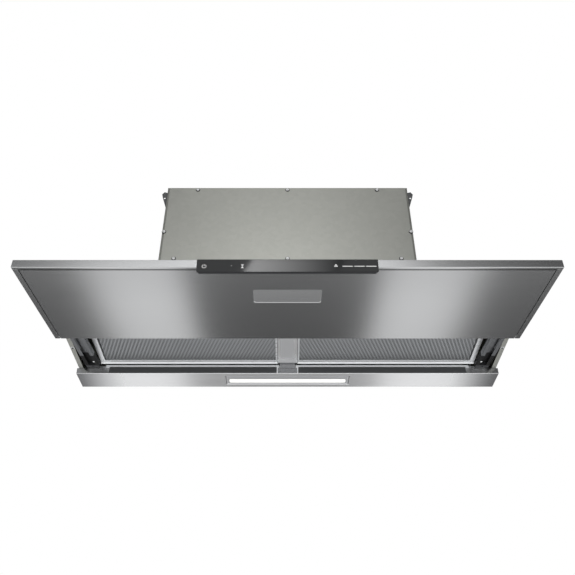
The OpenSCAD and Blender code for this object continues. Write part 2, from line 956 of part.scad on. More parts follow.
module lamp_diffuser() {
    color("#ffffff")
        on_strip()
            translate([0, 0, bezel_face / 2]) {
                linear_extrude(2.5 * bezel_face)
                    diffuser_outline(-gap / 3);
                translate([0, 0, 2.5 * bezel_face])
                    linear_extrude(2 * bezel_face)
                        diffuser_outline(bezel_face);
            }
}

module led_board() {
    color("#f2f2ea")
        on_strip()
            block([-bezel_w / 2 + bezel_lip + gap / 2, bezel_w / 2 - bezel_lip - gap / 2],
                  [bezel_from_front + diffuser_at - diffuser_d / 3,
                   bezel_from_front + diffuser_at + diffuser_d / 3],
                  [led_z, led_z + board_t]);
}

// Bar between the filters, with webs that carry their inner pins and a tab at the strip
module divider() {
    color("#8c8e90") {
        on_fall()
            difference() {
                union() {
                    block([-divider_half, divider_half], [-divider_len, -sheet_t], [0, sheet_t]);
                    for (side = [-1, 1])
                        on_side(side)
                            block([divider_web_x, divider_web_x + divider_web_t],
                                  [-divider_len, -sheet_t], [0, divider_web_h]);
                }
                for (side = [-1, 1])
                    on_side(side)
                        bar_x(pin_r + run_gap,
                              [divider_web_x - over, divider_web_x + divider_web_t + over],
                              hinge_y, hinge_z);
            }
        block([-divider_tab_half, divider_tab_half],
              [-strip_d - 1.2 * sheet_t, -strip_d], [screen_t + gap, filter_z + sheet_t]);
        block([-divider_tab_half, divider_tab_half], [filter_y - 2 * sheet_t, -strip_d],
              [filter_z, filter_z + sheet_t]);
    }
}

module divider_plate() {
    color("#9fa1a3")
        on_fall()
            block([-divider_plate_half, divider_plate_half],
                  [-divider_len + 2 * sheet_t, -divider_plate_from], [-0.8 * sheet_t, 0]);
}

// Frame of one filter, with its two pins, the pocket of the latch and the thumb slot
module filter_frame(side) {
    slot = latch_w / 2 + gap;
    color("#b4b6b8")
        on_side(side)
            on_fall()
                difference() {
                    union() {
                        difference() {
                            block([filter_in, filter_out], [-filter_d, 0], [0, filter_t]);
                            block([filter_in + filter_inner_rim, filter_out - filter_rim],
                                  [-filter_d + filter_front_rim, -filter_rim],
                                  [-over, filter_t + over]);
                        }
                        bar_x(pin_r, [filter_in - pin_reach, filter_out + pin_reach],
                              hinge_y, hinge_z);
                    }
                    block([filter_mid - slot, filter_mid + slot],
                          [-filter_d - over, -filter_d + latch_d + latch_travel + gap],
                          [hinge_z - latch_t / 2 - gap, hinge_z + latch_t / 2 + gap]);
                    block([filter_mid - thumb_w / 2 - gap, filter_mid + thumb_w / 2 + gap],
                          [-filter_d + latch_d / 2 - gap,
                           -filter_d + latch_d / 2 + thumb_d + latch_travel + gap],
                          [-over, hinge_z]);
                }
}

module filter_frame_left() {
    filter_frame(-1);
}

module filter_frame_right() {
    filter_frame(1);
}

module filter_mesh(side) {
    color("#7d7f82")
        on_side(side)
            on_fall()
                block([filter_in + filter_inner_rim, filter_out - filter_rim],
                      [-filter_d + filter_front_rim, -filter_rim],
                      [(filter_t - mesh_t) / 2, (filter_t + mesh_t) / 2]);
}

module filter_mesh_left() {
    filter_mesh(-1);
}

module filter_mesh_right() {
    filter_mesh(1);
}

// Sliding latch in the front of a filter, with a thumb tab below it
module filter_latch(side) {
    color("#2e2f31")
        on_side(side)
            on_fall() {
                block([filter_mid - latch_w / 2, filter_mid + latch_w / 2],
                      [-filter_d - latch_tongue, -filter_d + latch_d],
                      [hinge_z - latch_t / 2, hinge_z + latch_t / 2]);
                block([filter_mid - thumb_w / 2, filter_mid + thumb_w / 2],
                      [-filter_d + latch_d / 2, -filter_d + latch_d / 2 + thumb_d],
                      [-thumb_drop, hinge_z]);
            }
}

module filter_latch_left() {
    filter_latch(-1);
}

module filter_latch_right() {
    filter_latch(1);
}

// Angles that hang the slides from the roof, each with the bearing of a filter's outer pin
module slide_carriers() {
    front = slide_front;
    rear = slide_back + end_block_len + gap;
    pin_y = filter_y + hinge_y * cos_fall + hinge_z * sin_fall;
    pin_z = filter_z - hinge_y * sin_fall + hinge_z * cos_fall;
    color("#4f5154")
        for (side = [-1, 1])
            on_side(side)
                difference() {
                    union() {
                        block([carrier_x, carrier_x + sheet_t], [front, rear],
                              [slide_top, roof_z]);
                        block([bearing_x, carrier_x + sheet_t], [front, rear],
                              [slide_top, slide_top + sheet_t]);
                        block([bearing_x, bearing_x + bearing_t],
                              [pin_y - bearing_half, rear],
                              [slide_top, pin_z + bearing_half]);
                    }
                    bar_x(pin_r + run_gap, [bearing_x - over, bearing_x + bearing_t + over],
                          pin_y, pin_z);
                }
}

// Profile of the fixed slide member: a channel open below, with turned-in lips
module outer_profile() {
    h = slide_w / 2;
    difference() {
        translate([-h, slide_bottom])
            square([slide_w, slide_h]);
        translate([-h + slide_wall, slide_bottom + slide_wall])
            square([slide_w - 2 * slide_wall, slide_h - 2 * slide_wall]);
        translate([-slide_slot, slide_bottom - over])
            square([2 * slide_slot, slide_wall + 2 * over]);
    }
}

module slide_outer(side) {
    color("#6d7073")
        on_side(side)
            translate([slide_at, 0, 0])
                along_y([slide_front, slide_back])
                    outer_profile();
}

module slide_outer_left() {
    slide_outer(-1);
}

module slide_outer_right() {
    slide_outer(1);
}

// The middle member runs inside the fixed one and is half way out
module slide_middle(side) {
    h = slide_w / 2 - slide_wall - gap;
    z0 = slide_bottom + slide_wall + gap;
    tall = slide_h - 2 * slide_wall - 2 * gap;
    color("#85888b")
        on_side(side)
            translate([slide_at, -travel / 2, 0])
                along_y([slide_front, slide_back])
                    difference() {
                        translate([-h, z0])
                            square([2 * h, tall]);
                        translate([-h + slide_wall, z0 + slide_wall])
                            square([2 * h - 2 * slide_wall, tall - 2 * slide_wall]);
                        translate([-middle_slot, z0 - over])
                            square([2 * middle_slot, slide_wall + 2 * over]);
                    }
}

module slide_middle_left() {
    slide_middle(-1);
}

module slide_middle_right() {
    slide_middle(1);
}

// The inner member's head runs inside the middle one; its stem stands on the screen
module slide_inner(side) {
    h = slide_w / 2 - 2 * slide_wall - 2 * gap;
    z0 = slide_bottom + 2 * slide_wall + 2 * gap;
    tall = slide_h - 4 * slide_wall - 4 * gap;
    color("#a3a6a9")
        on_side(side)
            translate([slide_at, -travel, 0])
                along_y([slide_front, slide_back]) {
                    translate([-h, z0])
                        square([2 * h, tall]);
                    translate([-stem_half, screen_t])
                        square([2 * stem_half, z0 + tall / 2 - screen_t]);
                }
}

module slide_inner_left() {
    slide_inner(-1);
}

module slide_inner_right() {
    slide_inner(1);
}

// Black stop behind each slide
module slide_end_blocks() {
    color("#1b1c1d")
        for (side = [-1, 1])
            on_side(side)
                difference() {
                    block([slide_at - slide_w / 2 + gap, slide_at + slide_w / 2 - gap],
                          [slide_back, slide_back + end_block_len], [slide_bottom, slide_top]);
                    translate([slide_at, slide_back + end_block_len / 2, slide_bottom - over])
                        cylinder(r = pin_r, h = slide_h / 2 + over);
                }
}

module screen_top() {
    color("#8d8f92")
        block([-half_w, half_w], [tray_front, screen_back], [screen_t - sheet_t, screen_t]);
}

// Bands along the sides of the screen, and the bars between them that hold the panel
module screen_frame() {
    color("#8d8f92") {
        for (side = [-1, 1])
            on_side(side)
                block([half_w - band_w, half_w], [tray_front, screen_back],
                      [0, screen_t - sheet_t]);
        for (y = [panel_front, cup_back + stiffener_w, screen_back - stiffener_w])
            block([-panel_half, panel_half], [y, y + stiffener_w],
                  [panel_t, screen_t - sheet_t]);
    }
}

module screen_panel() {
    color("#77797c")
        difference() {
            block([-panel_half, panel_half], [panel_front, screen_back], [0, panel_t]);
            block([-cup_w / 2, cup_w / 2], [cup_front, cup_back], [-over, panel_t + over]);
        }
}

module finger_recess() {
    x1 = cup_w / 2;
    ceiling = screen_t - sheet_t;
    color("#8f9194")
        difference() {
            block([-x1, x1], [cup_front, cup_back], [0, ceiling]);
            block([-x1 + cup_wall, x1 - cup_wall],
                  [cup_front + cup_wall, cup_back - cup_wall], [-over, ceiling - cup_wall]);
        }
}

// Folded front strip, cut away in the middle for the glass
module front_strip() {
    f = screen_front;
    profile = [[f, 0], [f + front_lip, 0], [f + front_lip, sheet_t], [f + sheet_t, sheet_t],
               [f + sheet_t, front_h - sheet_t], [f + front_d - sheet_t, front_h - sheet_t],
               [f + front_d - sheet_t, screen_t], [f + front_d, screen_t],
               [f + front_d, front_h], [f, front_h]];
    end = [[f, 0], [f + front_lip, 0], [f + front_lip, screen_t], [f + front_d, screen_t],
           [f + front_d, front_h], [f, front_h]];
    color("#c9cacb")
        difference() {
            union() {
                along_x([-half_w, half_w])
                    polygon(profile);
                for (side = [-1, 1])
                    on_side(side)
                        along_x([half_w - sheet_t, half_w])
                            polygon(end);
            }
            block([-glass_half - gap, glass_half + gap], [f - over, glass_back + gap / 3],
                  [-over, front_h + over]);
            block([-glass_half - gap, glass_half + gap], [f - over, f + front_lip + over / 4],
                  [-over, screen_t]);
        }
}

// Outline of the glass in X and Z, with round lower corners
module glass_outline() {
    difference() {
        translate([-glass_half, -glass_drop])
            square([glass_w, glass_drop + front_h]);
        for (x = [-glass_half, glass_half])
            translate([x - glass_r, -glass_drop - glass_r])
                square([2 * glass_r, 2 * glass_r]);
    }
    for (x = [-glass_half + glass_r, glass_half - glass_r])
        translate([x, -glass_drop + glass_r])
            circle(r = glass_r);
}

module control_glass() {
    color("#2e2f31")
        along_y([glass_front, glass_back])
            glass_outline();
}

// Housing behind the glass: its lower part shows under the strip, its upper part is inside
module control_housing() {
    x1 = glass_half - housing_inset;
    low = -glass_drop + housing_inset;
    top = front_h - sheet_t - gap / 3;
    profile = [[glass_back, low], [housing_back, low], [housing_back, screen_t + gap / 3],
               [screen_front + front_d - sheet_t - gap, screen_t + gap / 3],
               [screen_front + front_d - sheet_t - gap, top], [glass_back, top]];
    color("#232426")
        difference() {
            along_x([-x1 + glass_r, x1 - glass_r])
                polygon(profile);
            block([-x1 + board_margin, x1 - board_margin],
                  [glass_back - over, glass_back + board_t + gap / 3],
                  [low + board_rise, top - board_rise]);
        }
}

module control_board() {
    x1 = glass_half - housing_inset - board_margin - gap;
    color("#1f6b3a")
        block([-x1, x1], [glass_back + gap / 6, glass_back + board_t + gap / 6],
              [-glass_drop + housing_inset + board_rise + gap,
               front_h - sheet_t - board_rise - 2 * gap]);
}

roof_panel();
back_wall();
casing_front();
side_wall_left();
side_wall_right();
front_crossbar();
box_wrap();
box_top();
box_apron();
front_cover();
cover_screws();
hanging_ear_left();
hanging_ear_right();
cabinet_bracket_left();
cabinet_bracket_right();
duct_collar();
flap_pin();
flap_front();
flap_rear();
scroll_shell_left();
scroll_shell_right();
inlet_rings();
fan_wheel();
motor_shaft();
motor();
motor_spider();
electronics_tray();
electronics_lid();
main_board();
capacitor();
cable_gland();
lamp_strip();
strip_rail();
lamp_bezel();
lamp_diffuser();
led_board();
divider();
divider_plate();
filter_frame_left();
filter_mesh_left();
filter_latch_left();
filter_frame_right();
filter_mesh_right();
filter_latch_right();
slide_carriers();
slide_outer_left();
slide_outer_right();
slide_middle_left();
slide_middle_right();
slide_inner_left();
slide_inner_right();
slide_end_blocks();
screen_top();
screen_frame();
screen_panel();
finger_recess();
front_strip();
control_glass();
control_housing();
control_board();
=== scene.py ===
import math

import bmesh
import bpy
from mathutils import Matrix, Vector


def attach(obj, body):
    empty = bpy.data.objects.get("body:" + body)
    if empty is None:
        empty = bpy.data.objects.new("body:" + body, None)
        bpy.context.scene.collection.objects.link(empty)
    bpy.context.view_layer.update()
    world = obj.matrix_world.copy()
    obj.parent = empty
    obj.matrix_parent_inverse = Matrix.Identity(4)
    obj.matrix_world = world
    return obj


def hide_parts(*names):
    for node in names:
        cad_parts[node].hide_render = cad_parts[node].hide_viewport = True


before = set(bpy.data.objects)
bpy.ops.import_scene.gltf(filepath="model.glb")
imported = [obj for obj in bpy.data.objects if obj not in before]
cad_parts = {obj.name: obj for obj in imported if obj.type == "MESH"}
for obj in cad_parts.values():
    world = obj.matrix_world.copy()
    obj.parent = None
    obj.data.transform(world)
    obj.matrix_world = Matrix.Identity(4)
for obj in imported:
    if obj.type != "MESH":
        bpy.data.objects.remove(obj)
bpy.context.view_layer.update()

# Studio
# The hood hangs at its working height over a pale floor. The camera looks up at it from in
# front, and pale and dark cards, which only reflections see, give the sheet metal its shades.

MM = 0.001
EYE, LOOK_UP, LENS, FILM = (0, -1278, -593), 33.4, 39.82, 36
FLOOR_Z, FLOOR_SPAN = -1550, 30000
SKY_DIM, SKY_SEEN = 0.55, 1.0


def linear(text):
    """The linear colour of an sRGB hex value."""
    parts = [int(text[i:i + 2], 16) / 255 for i in (1, 3, 5)]
    return (*(p / 12.92 if p <= 0.04045 else ((p + 0.055) / 1.055) ** 2.4 for p in parts), 1)


def add(tree, kind, sockets=None, **settings):
    """Adds a node. A socket is given a plain value, or the output that is linked to it."""
    node = tree.nodes.new(kind)
    for name, value in settings.items():
        setattr(node, name, value)
    for name, value in (sockets or {}).items():
        if isinstance(value, bpy.types.NodeSocket):
            tree.links.new(value, node.inputs[name])
        else:
            node.inputs[name].default_value = value
    return node


def empty_material(name):
    """A named material with nothing but its output."""
    material = bpy.data.materials.new(name)
    material.use_nodes = True
    material.node_tree.nodes.clear()
    return material, material.node_tree, add(material.node_tree, "ShaderNodeOutputMaterial")


def deselect():
    """Nothing is selected, so that an operator acts only on what is added or chosen next."""
    if bpy.context.object and bpy.context.object.mode != "OBJECT":
        bpy.ops.object.mode_set(mode="OBJECT")
    bpy.ops.object.select_all(action="DESELECT")


def card(name, width, height, place, turn, strength_of, lean=0.0):
    """A flat card of the studio, in mm, that only reflections see. Its top can lean aside."""
    deselect()
    bpy.ops.mesh.primitive_plane_add(size=1, location=[v * MM for v in place], rotation=turn)
    plane = bpy.context.object
    plane.name = name
    plane.scale = (width * MM, height * MM, 1)
    bpy.ops.object.transform_apply(location=False, rotation=False, scale=True)
    for corner in plane.data.vertices:
        corner.co.x += lean * corner.co.y
    material, tree, output = empty_material(name)
    where = add(tree, "ShaderNodeTexCoord")
    axes = add(tree, "ShaderNodeSeparateXYZ", {0: where.outputs["Object"]})
    glow = add(tree, "ShaderNodeEmission", {"Strength": strength_of(tree, axes.outputs)})
    tree.links.new(glow.outputs[0], output.inputs["Surface"])
    plane.data.materials.append(material)
    plane.visible_camera = plane.visible_diffuse = plane.visible_shadow = False
    plane.visible_transmission = plane.visible_volume_scatter = False


def profile(tree, place, stops):
    """A value that changes along an axis, from places in metres and the values there."""
    low, high = stops[0][0], stops[-1][0]
    share = add(tree, "ShaderNodeMapRange",
                {"Value": place, "From Min": low, "From Max": high}).outputs[0]
    ramp = add(tree, "ShaderNodeValToRGB", {0: share})
    marks = ramp.color_ramp.elements
    for number, (spot, strength) in enumerate(stops):
        at_share = (spot - low) / (high - low)
        mark = marks[0] if number == 0 else marks.new(at_share)
        mark.color = (strength, strength, strength, 1)
        if number == 0:
            marks.remove(marks[1])
    return ramp.outputs[0]


camera = bpy.data.objects.new("camera", bpy.data.cameras.new("camera"))
camera.data.sensor_width = FILM
camera.data.lens = LENS
camera.data.clip_end = 100
camera.location = [v * MM for v in EYE]
camera.rotation_euler = (math.radians(90 + LOOK_UP), 0, 0)
bpy.context.scene.collection.objects.link(camera)
bpy.context.scene.camera = camera
bpy.context.scene.view_settings.view_transform = "Standard"

world = bpy.data.worlds.new("studio_air")
world.use_nodes = True
world.node_tree.nodes.clear()
rays = add(world.node_tree, "ShaderNodeLightPath")
seen = add(world.node_tree, "ShaderNodeMath", {
    0: rays.outputs["Is Camera Ray"], 1: rays.outputs["Is Glossy Ray"]}, operation="ADD")
seen = add(world.node_tree, "ShaderNodeMath", {
    0: seen.outputs[0], 1: rays.outputs["Is Transmission Ray"]}, operation="ADD")
seen = add(world.node_tree, "ShaderNodeMapRange", {
    "Value": seen.outputs[0], "To Min": SKY_DIM, "To Max": SKY_SEEN}).outputs[0]
sky = add(world.node_tree, "ShaderNodeBackground", {"Color": (1, 1, 1, 1), "Strength": seen})
add(world.node_tree, "ShaderNodeOutputWorld", {"Surface": sky.outputs[0]})
bpy.context.scene.world = world

deselect()
bpy.ops.mesh.primitive_plane_add(size=FLOOR_SPAN * MM, location=(0, 0, FLOOR_Z * MM))
floor = bpy.context.object
floor.name = "floor"
# Pale floor paint: matt and nearly white, with the lift that a lit studio floor has
paint, tree, output = empty_material("pale_floor_paint")
where = add(tree, "ShaderNodeTexCoord")
grain = add(tree, "ShaderNodeTexNoise", {
    "Vector": where.outputs["Object"], "Scale": 1 / (333 * MM)})
shade = add(tree, "ShaderNodeMapRange",
            {"Value": grain.outputs["Fac"], "To Min": 0.50, "To Max": 0.53}).outputs[0]
matt = add(tree, "ShaderNodeBsdfDiffuse", {"Color": add(
    tree, "ShaderNodeCombineColor", {0: shade, 1: shade, 2: shade}).outputs[0]})
haze = add(tree, "ShaderNodeEmission", {"Color": (1, 1, 1, 1), "Strength": 0.42})
both = add(tree, "ShaderNodeAddShader", {0: matt.outputs[0], 1: haze.outputs[0]})
tree.links.new(both.outputs[0], output.inputs["Surface"])
floor.data.materials.append(paint)

# Below: a dark middle between two long softboxes, which the screen mirrors. It reaches forward
# under the camera, where the sloped faces look.
BANDS = ((0.395, 0), (0.43, 1.0), (0.55, 1.06), (0.78, 1.04), (0.865, 0), (3.5, 0))


def low_strength(tree, axes):
    """Two bright bands across, each stronger near the screen, over a glow that fades."""
    bands = profile(tree, axes["X"], [(-x, s) for x, s in reversed(BANDS)] + list(BANDS))
    reach = profile(tree, axes["Y"], (
        (-2.15, 0.5), (-1.10, 0.60), (-1.02, 0.62), (-0.90, 0.88), (-0.80, 0.86), (-0.60, 0.74),
        (2.15, 0.75)))
    base = profile(tree, axes["Y"], (
        (-2.15, 1.9), (-1.93, 1.9), (-1.80, 0.95), (-1.62, 0.36), (-1.40, 0.32), (-1.20, 0.20),
        (-1.02, 0.165), (-0.86, 0.145), (-0.60, 0.11), (2.15, 0.10)))
    lit = add(tree, "ShaderNodeMath", {0: bands, 1: reach}, operation="MULTIPLY")
    return add(tree, "ShaderNodeMath", {0: lit.outputs[0], 1: base}, operation="ADD").outputs[0]


card("low_card", 7000, 4300, (-20, 1950, -900), (0, 0, 0), low_strength)
# In front, low down: a broad softbox, a little left, which the front strip mirrors
card("strip_card", 8000, 1500, (0, -2500, 970), (math.radians(90), 0, 0),
     lambda tree, axes: profile(tree, axes["X"], (
         (-4.0, 0.24), (-1.55, 0.30), (-1.36, 0.38), (-1.28, 0.48), (-1.16, 0.82),
         (-1.05, 1.05), (-0.6, 1.14), (0.5, 1.14), (0.62, 1.05), (0.70, 0.72), (0.78, 0.62),
         (0.90, 0.36), (1.10, 0.28), (1.30, 0.20), (1.45, 0.14), (4.0, 0.14))))


def cover_strength(tree, axes):
    """A soft lobe across, which fades upward."""
    across = profile(tree, axes["X"], (
        (-4.0, 0.0), (-1.1, 0.04), (-0.85, 0.14), (-0.5, 0.72), (-0.15, 1.02), (0.2, 0.98),
        (0.5, 0.60), (0.8, 0.16), (1.1, 0.04), (4.0, 0.0)))
    upward = profile(tree, axes["Y"], (
        (-0.94, 1.30), (-0.72, 1.15), (-0.62, 1.0), (-0.51, 0.82), (-0.42, 0.72),
        (-0.33, 0.60), (-0.24, 0.42), (-0.06, 0.30), (0.94, 0.25)))
    return add(tree, "ShaderNodeMath", {0: across, 1: upward},
               operation="MULTIPLY").outputs[0]


# In front, higher: its soft lobe is what the cover of the motor box mirrors
card("cover_card", 8000, 1880, (0, -2500, 2660), (math.radians(90), 0, 0), cover_strength)
# A small bright window with a slanted edge, for the control glass
card("window_card", 520, 140, (40, -2480, 1450), (math.radians(90), 0, 0),
     lambda tree, axes: profile(tree, axes["X"], (
         (-0.26, 11.0), (-0.222, 10.7), (-0.11, 8.2), (-0.026, 6.2), (0.058, 4.2), (0.142, 2.4),
         (0.26, 0.2))), lean=0.45)
# Above, left, right and behind: mid greys, so that the other sides aren't lost in white
for name, size, place, turn in (
        ("high_card", (6000, 2600), (0, 900, 2900), (0, 0, 0)),
        ("left_card", (3000, 2600), (-3200, 0, 600), (0, math.radians(90), 0)),
        ("right_card", (3000, 2600), (3200, 0, 600), (0, math.radians(90), 0)),
        ("rear_card", (5000, 2400), (0, 3600, 900), (math.radians(90), 0, 0))):
    card(name, *size, place, turn, lambda tree, axes: profile(
        tree, axes["Y"], ((-1.3, 0.3), (-0.26, 0.8), (0.26, 0.8), (1.3, 0.3))))

for name, power, size, place, aim in (
        ("key_light", 40, 2.2, (-1.6, -2.6, 1.6), (0, -0.2, 0.1)),
        ("fill_light", 26, 2.4, (2.0, -2.2, 0.6), (0, -0.2, 0.1)),
        ("low_light", 22, 2.4, (0, -1.2, -1.4), (0, -0.2, 0.1)),
        ("back_light", 26, 2.4, (0.4, 2.4, 1.8), (0, -0.1, 0.2))):
    lamp = bpy.data.objects.new(name, bpy.data.lights.new(name, "AREA"))
    lamp.data.energy = power
    lamp.data.size = size
    lamp.location = place
    lamp.rotation_euler = (Vector(aim) - Vector(place)).to_track_quat("-Z", "Y").to_euler()
    lamp.visible_camera = lamp.visible_glossy = lamp.visible_transmission = False
    bpy.context.scene.collection.objects.link(lamp)

# Casing
# The low casing is folded from galvanised sheet 1 mm thick: roof, back, front and two sides
# with turned-in lower flanges. Its bends are round outside, and its cut edges are deburred.


def surface(name, hex_text, metallic, roughness, **constants):
    """A material with one Principled shader, whose colour and roughness can still be linked."""
    material, tree, output = empty_material(name)
    shader = add(tree, "ShaderNodeBsdfPrincipled",
                 {"Base Color": linear(hex_text), "Metallic": metallic,
                  "Roughness": roughness, **constants})
    tree.links.new(shader.outputs[0], output.inputs["Surface"])
    return material, tree, shader


def pattern(tree, shader, grains, colours=None, roughness=None, relief=None, detail=3.0):
    """Noise on the piece's own coordinates, its grains given in mm along X, Y and Z. It
    varies colour or roughness between two values, or raises a relief, in mm and strength."""
    where = add(tree, "ShaderNodeTexCoord")
    spread = add(tree, "ShaderNodeMapping", {
        "Vector": where.outputs["Object"], "Scale": [1 / (grain * MM) for grain in grains]})
    noise = add(tree, "ShaderNodeTexNoise", {
        "Vector": spread.outputs[0], "Scale": 1.0, "Detail": detail}).outputs["Fac"]
    if colours:
        mix = add(tree, "ShaderNodeMix", {
            0: noise, 6: linear(colours[0]), 7: linear(colours[1])}, data_type="RGBA")
        tree.links.new(mix.outputs[2], shader.inputs["Base Color"])
    if roughness:
        between = add(tree, "ShaderNodeMapRange", {
            "Value": noise, "From Min": 0.3, "From Max": 0.7,
            "To Min": roughness[0], "To Max": roughness[1]})
        tree.links.new(between.outputs[0], shader.inputs["Roughness"])
    if relief:
        bump = add(tree, "ShaderNodeBump", {
            "Height": noise, "Distance": relief[0] * MM, "Strength": relief[1]})
        tree.links.new(bump.outputs[0], shader.inputs["Normal"])


# Galvanised sheet: hot-dipped zinc, a warm mid grey with a faint spangle of flat crystals,
# dull enough to blur what it mirrors.
SPANGLE, SHEET_EDGE = 9, 0.25
COVER_HALF, BOX_FACE, APRON_TOP, BOX_SHADE = 267.4, -189.0, 100, 0.6
zinc, tree, shader = surface("galvanised_sheet", "#BCBCB4", 0.9, 0.36)
where = add(tree, "ShaderNodeTexCoord")
spangle = add(tree, "ShaderNodeTexVoronoi", {
    "Vector": where.outputs["Object"], "Scale": 1 / (SPANGLE * MM)})
flake = add(tree, "ShaderNodeSeparateColor", {0: spangle.outputs["Color"]}).outputs[0]
mix = add(tree, "ShaderNodeMix", {0: flake, 6: linear("#B2B3AD"), 7: linear("#B6B7B1")},
          data_type="RGBA")
# Painted shade: the motor box's front corners, beside its cover, are painted darker, in place
# of the dark that they would mirror
axes = add(tree, "ShaderNodeSeparateXYZ", {0: where.outputs["Object"]})
aside = add(tree, "ShaderNodeMath", {0: axes.outputs["X"]}, operation="ABSOLUTE").outputs[0]
painted_corner_shade = profile(tree, aside, (
    (0.0, 0.0), (COVER_HALF * MM, 0.0), ((COVER_HALF + BOX_SHADE) * MM, 1.0), (0.30, 1.0)))
for axis, low, high in (("Y", BOX_FACE, BOX_FACE - BOX_SHADE),
                        ("Z", APRON_TOP, APRON_TOP + 2)):
    near = add(tree, "ShaderNodeMapRange", {
        "Value": axes.outputs[axis], "From Min": low * MM, "From Max": high * MM}).outputs[0]
    painted_corner_shade = add(tree, "ShaderNodeMath", {0: painted_corner_shade, 1: near}, operation="MULTIPLY").outputs[0]
mix = add(tree, "ShaderNodeMix", {0: painted_corner_shade, 6: mix.outputs[2], 7: linear("#8C8D88")},
          data_type="RGBA")
tree.links.new(mix.outputs[2], shader.inputs["Base Color"])
pattern(tree, shader, (17, 17, 17), roughness=(0.34, 0.38))
pattern(tree, shader, (0.8, 0.8, 0.8), relief=(0.004, 0.4))


def choose(obj, kind, test):
    """Selects the vertices, edges or faces of a piece that pass a test, in edit mode."""
    deselect()
    bpy.context.view_layer.objects.active = obj
    obj.select_set(True)
    bpy.ops.object.mode_set(mode="EDIT")
    bpy.ops.mesh.select_mode(type=kind)
    bpy.ops.mesh.select_all(action="DESELECT")
    made = bmesh.from_edit_mesh(obj.data)
    for part in {"VERT": made.verts, "EDGE": made.edges, "FACE": made.faces}[kind]:
        if test(part):
            part.select = True
    made.select_flush_mode()
    bmesh.update_edit_mesh(obj.data)


def sharp(edge, degrees=25):
    """True on an edge where two faces meet at a clear angle."""
    return len(edge.link_faces) == 2 and edge.calc_face_angle(0) > math.radians(degrees)


def round_off(obj, test, radius, steps=3):
    """Bevels the edges that pass a test."""
    choose(obj, "EDGE", test)
    bpy.ops.mesh.bevel(offset=radius * MM, segments=steps, affect="EDGES",
                       clamp_overlap=True)
    bpy.ops.object.mode_set(mode="OBJECT")


def dress(obj, material, nodes=(), body="casing", angle=32):
    """A finished piece: its material, the smooth shading, the body it rides on."""
    deselect()
    bpy.context.view_layer.objects.active = obj
    obj.select_set(True)
    bpy.ops.object.transform_apply(location=True, rotation=True, scale=True)
    bpy.ops.object.shade_smooth_by_angle(angle=math.radians(angle))
    bpy.ops.object.modifier_add(type="WEIGHTED_NORMAL")
    obj.modifiers[-1].keep_sharp = True
    bpy.ops.object.modifier_apply(modifier=obj.modifiers[-1].name)
    obj.data.materials.clear()
    obj.data.materials.append(material)
    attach(obj, body)
    if nodes:
        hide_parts(*nodes)


def merged(node):
    """A copy of a node as one clean mesh, with its flat faces whole."""
    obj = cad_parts[node].copy()
    obj.data = obj.data.copy()
    for key in list(obj.keys()):
        del obj[key]
    obj.parent = None
    obj.matrix_world = Matrix.Identity(4)
    bpy.context.scene.collection.objects.link(obj)
    choose(obj, "VERT", lambda v: True)
    bpy.ops.mesh.remove_doubles(threshold=0.00001)
    bpy.ops.mesh.dissolve_limited(angle_limit=math.radians(0.5))
    bpy.ops.object.mode_set(mode="OBJECT")
    if obj.data.has_custom_normals:
        bpy.ops.mesh.customdata_custom_splitnormals_clear()
    return obj


def eased(node, material, body="casing", edge=0.2, steps=2, bends=None,
          bend=0.9, angle=32):
    """A node's shape with its bends rounded and its cut edges eased."""
    obj = merged(node)
    obj.name = node + "_piece"
    if bends:
        round_off(obj, bends, bend, 4)
    if edge:
        round_off(obj, sharp, edge, steps)
    dress(obj, material, (node,), body, angle)


def flange_bend(edge):
    """True on the long edges where a side wall turns in to its lower flange."""
    ends = [v.co / MM for v in edge.verts]
    return sharp(edge) and all(abs(abs(p.x) - SIDE_OUT) < 0.2 for p in ends) and abs(
        ends[0].y - ends[1].y) > 20 and ends[0].z < FLANGE_BELOW


SIDE_OUT, FLANGE_BELOW = 444.0, 50
for node in ("roof_panel", "back_wall", "casing_front"):
    eased(node, zinc)
for side in ("left", "right"):
    eased("side_wall_" + side, zinc, bends=flange_bend)

# Black painted steel: a thin satin coat over folded sheet, near black with a soft sheen.
black_steel, tree, shader = surface("black_painted_steel", "#4A4B4C", 0.35, 0.42)
pattern(tree, shader, (7, 7, 7), roughness=(0.36, 0.5))
pattern(tree, shader, (0.6, 0.6, 0.6), relief=(0.02, 0.4))
eased("front_crossbar", black_steel)

# Motor box
# The box over the casing holds the blower. One galvanised sheet is bent round its sides and
# back, and a flat cover closes its front with eight screws.


def bend_z(*places):
    """A test for the upright edges that lie at these places in X and Y, in mm."""
    def test(edge):
        a, b = (v.co / MM for v in edge.verts)
        return abs(a.z - b.z) > 3 and any(
            abs(abs(a.x) - x) < 0.2 and abs(a.y - y) < 0.2 for x, y in places)
    return test


def block(name, x, y, z):
    """A block between two ends along each axis, in mm: the start of a piece."""
    deselect()
    bpy.ops.mesh.primitive_cube_add(size=1)
    obj = bpy.context.object
    obj.name = name
    obj.scale = [(b - a) * MM for a, b in (x, y, z)]
    obj.location = [(a + b) / 2 * MM for a, b in (x, y, z)]
    bpy.ops.object.transform_apply(location=True, rotation=True, scale=True)
    return obj


def rod(name, radius, start, end, sides=24, ease=0.2):
    """A round bar between two points, in mm, with its ends eased."""
    deselect()
    start, end = Vector(start), Vector(end)
    bpy.ops.mesh.primitive_cylinder_add(
        vertices=sides, radius=radius * MM, depth=(end - start).length * MM,
        location=(start + end) / 2 * MM,
        rotation=(end - start).to_track_quat("Z", "Y").to_euler())
    bar = bpy.context.object
    bar.name = name
    bpy.ops.object.transform_apply(location=True, rotation=True, scale=True)
    round_off(bar, lambda e: sharp(e, 60), ease, 3)
    return bar


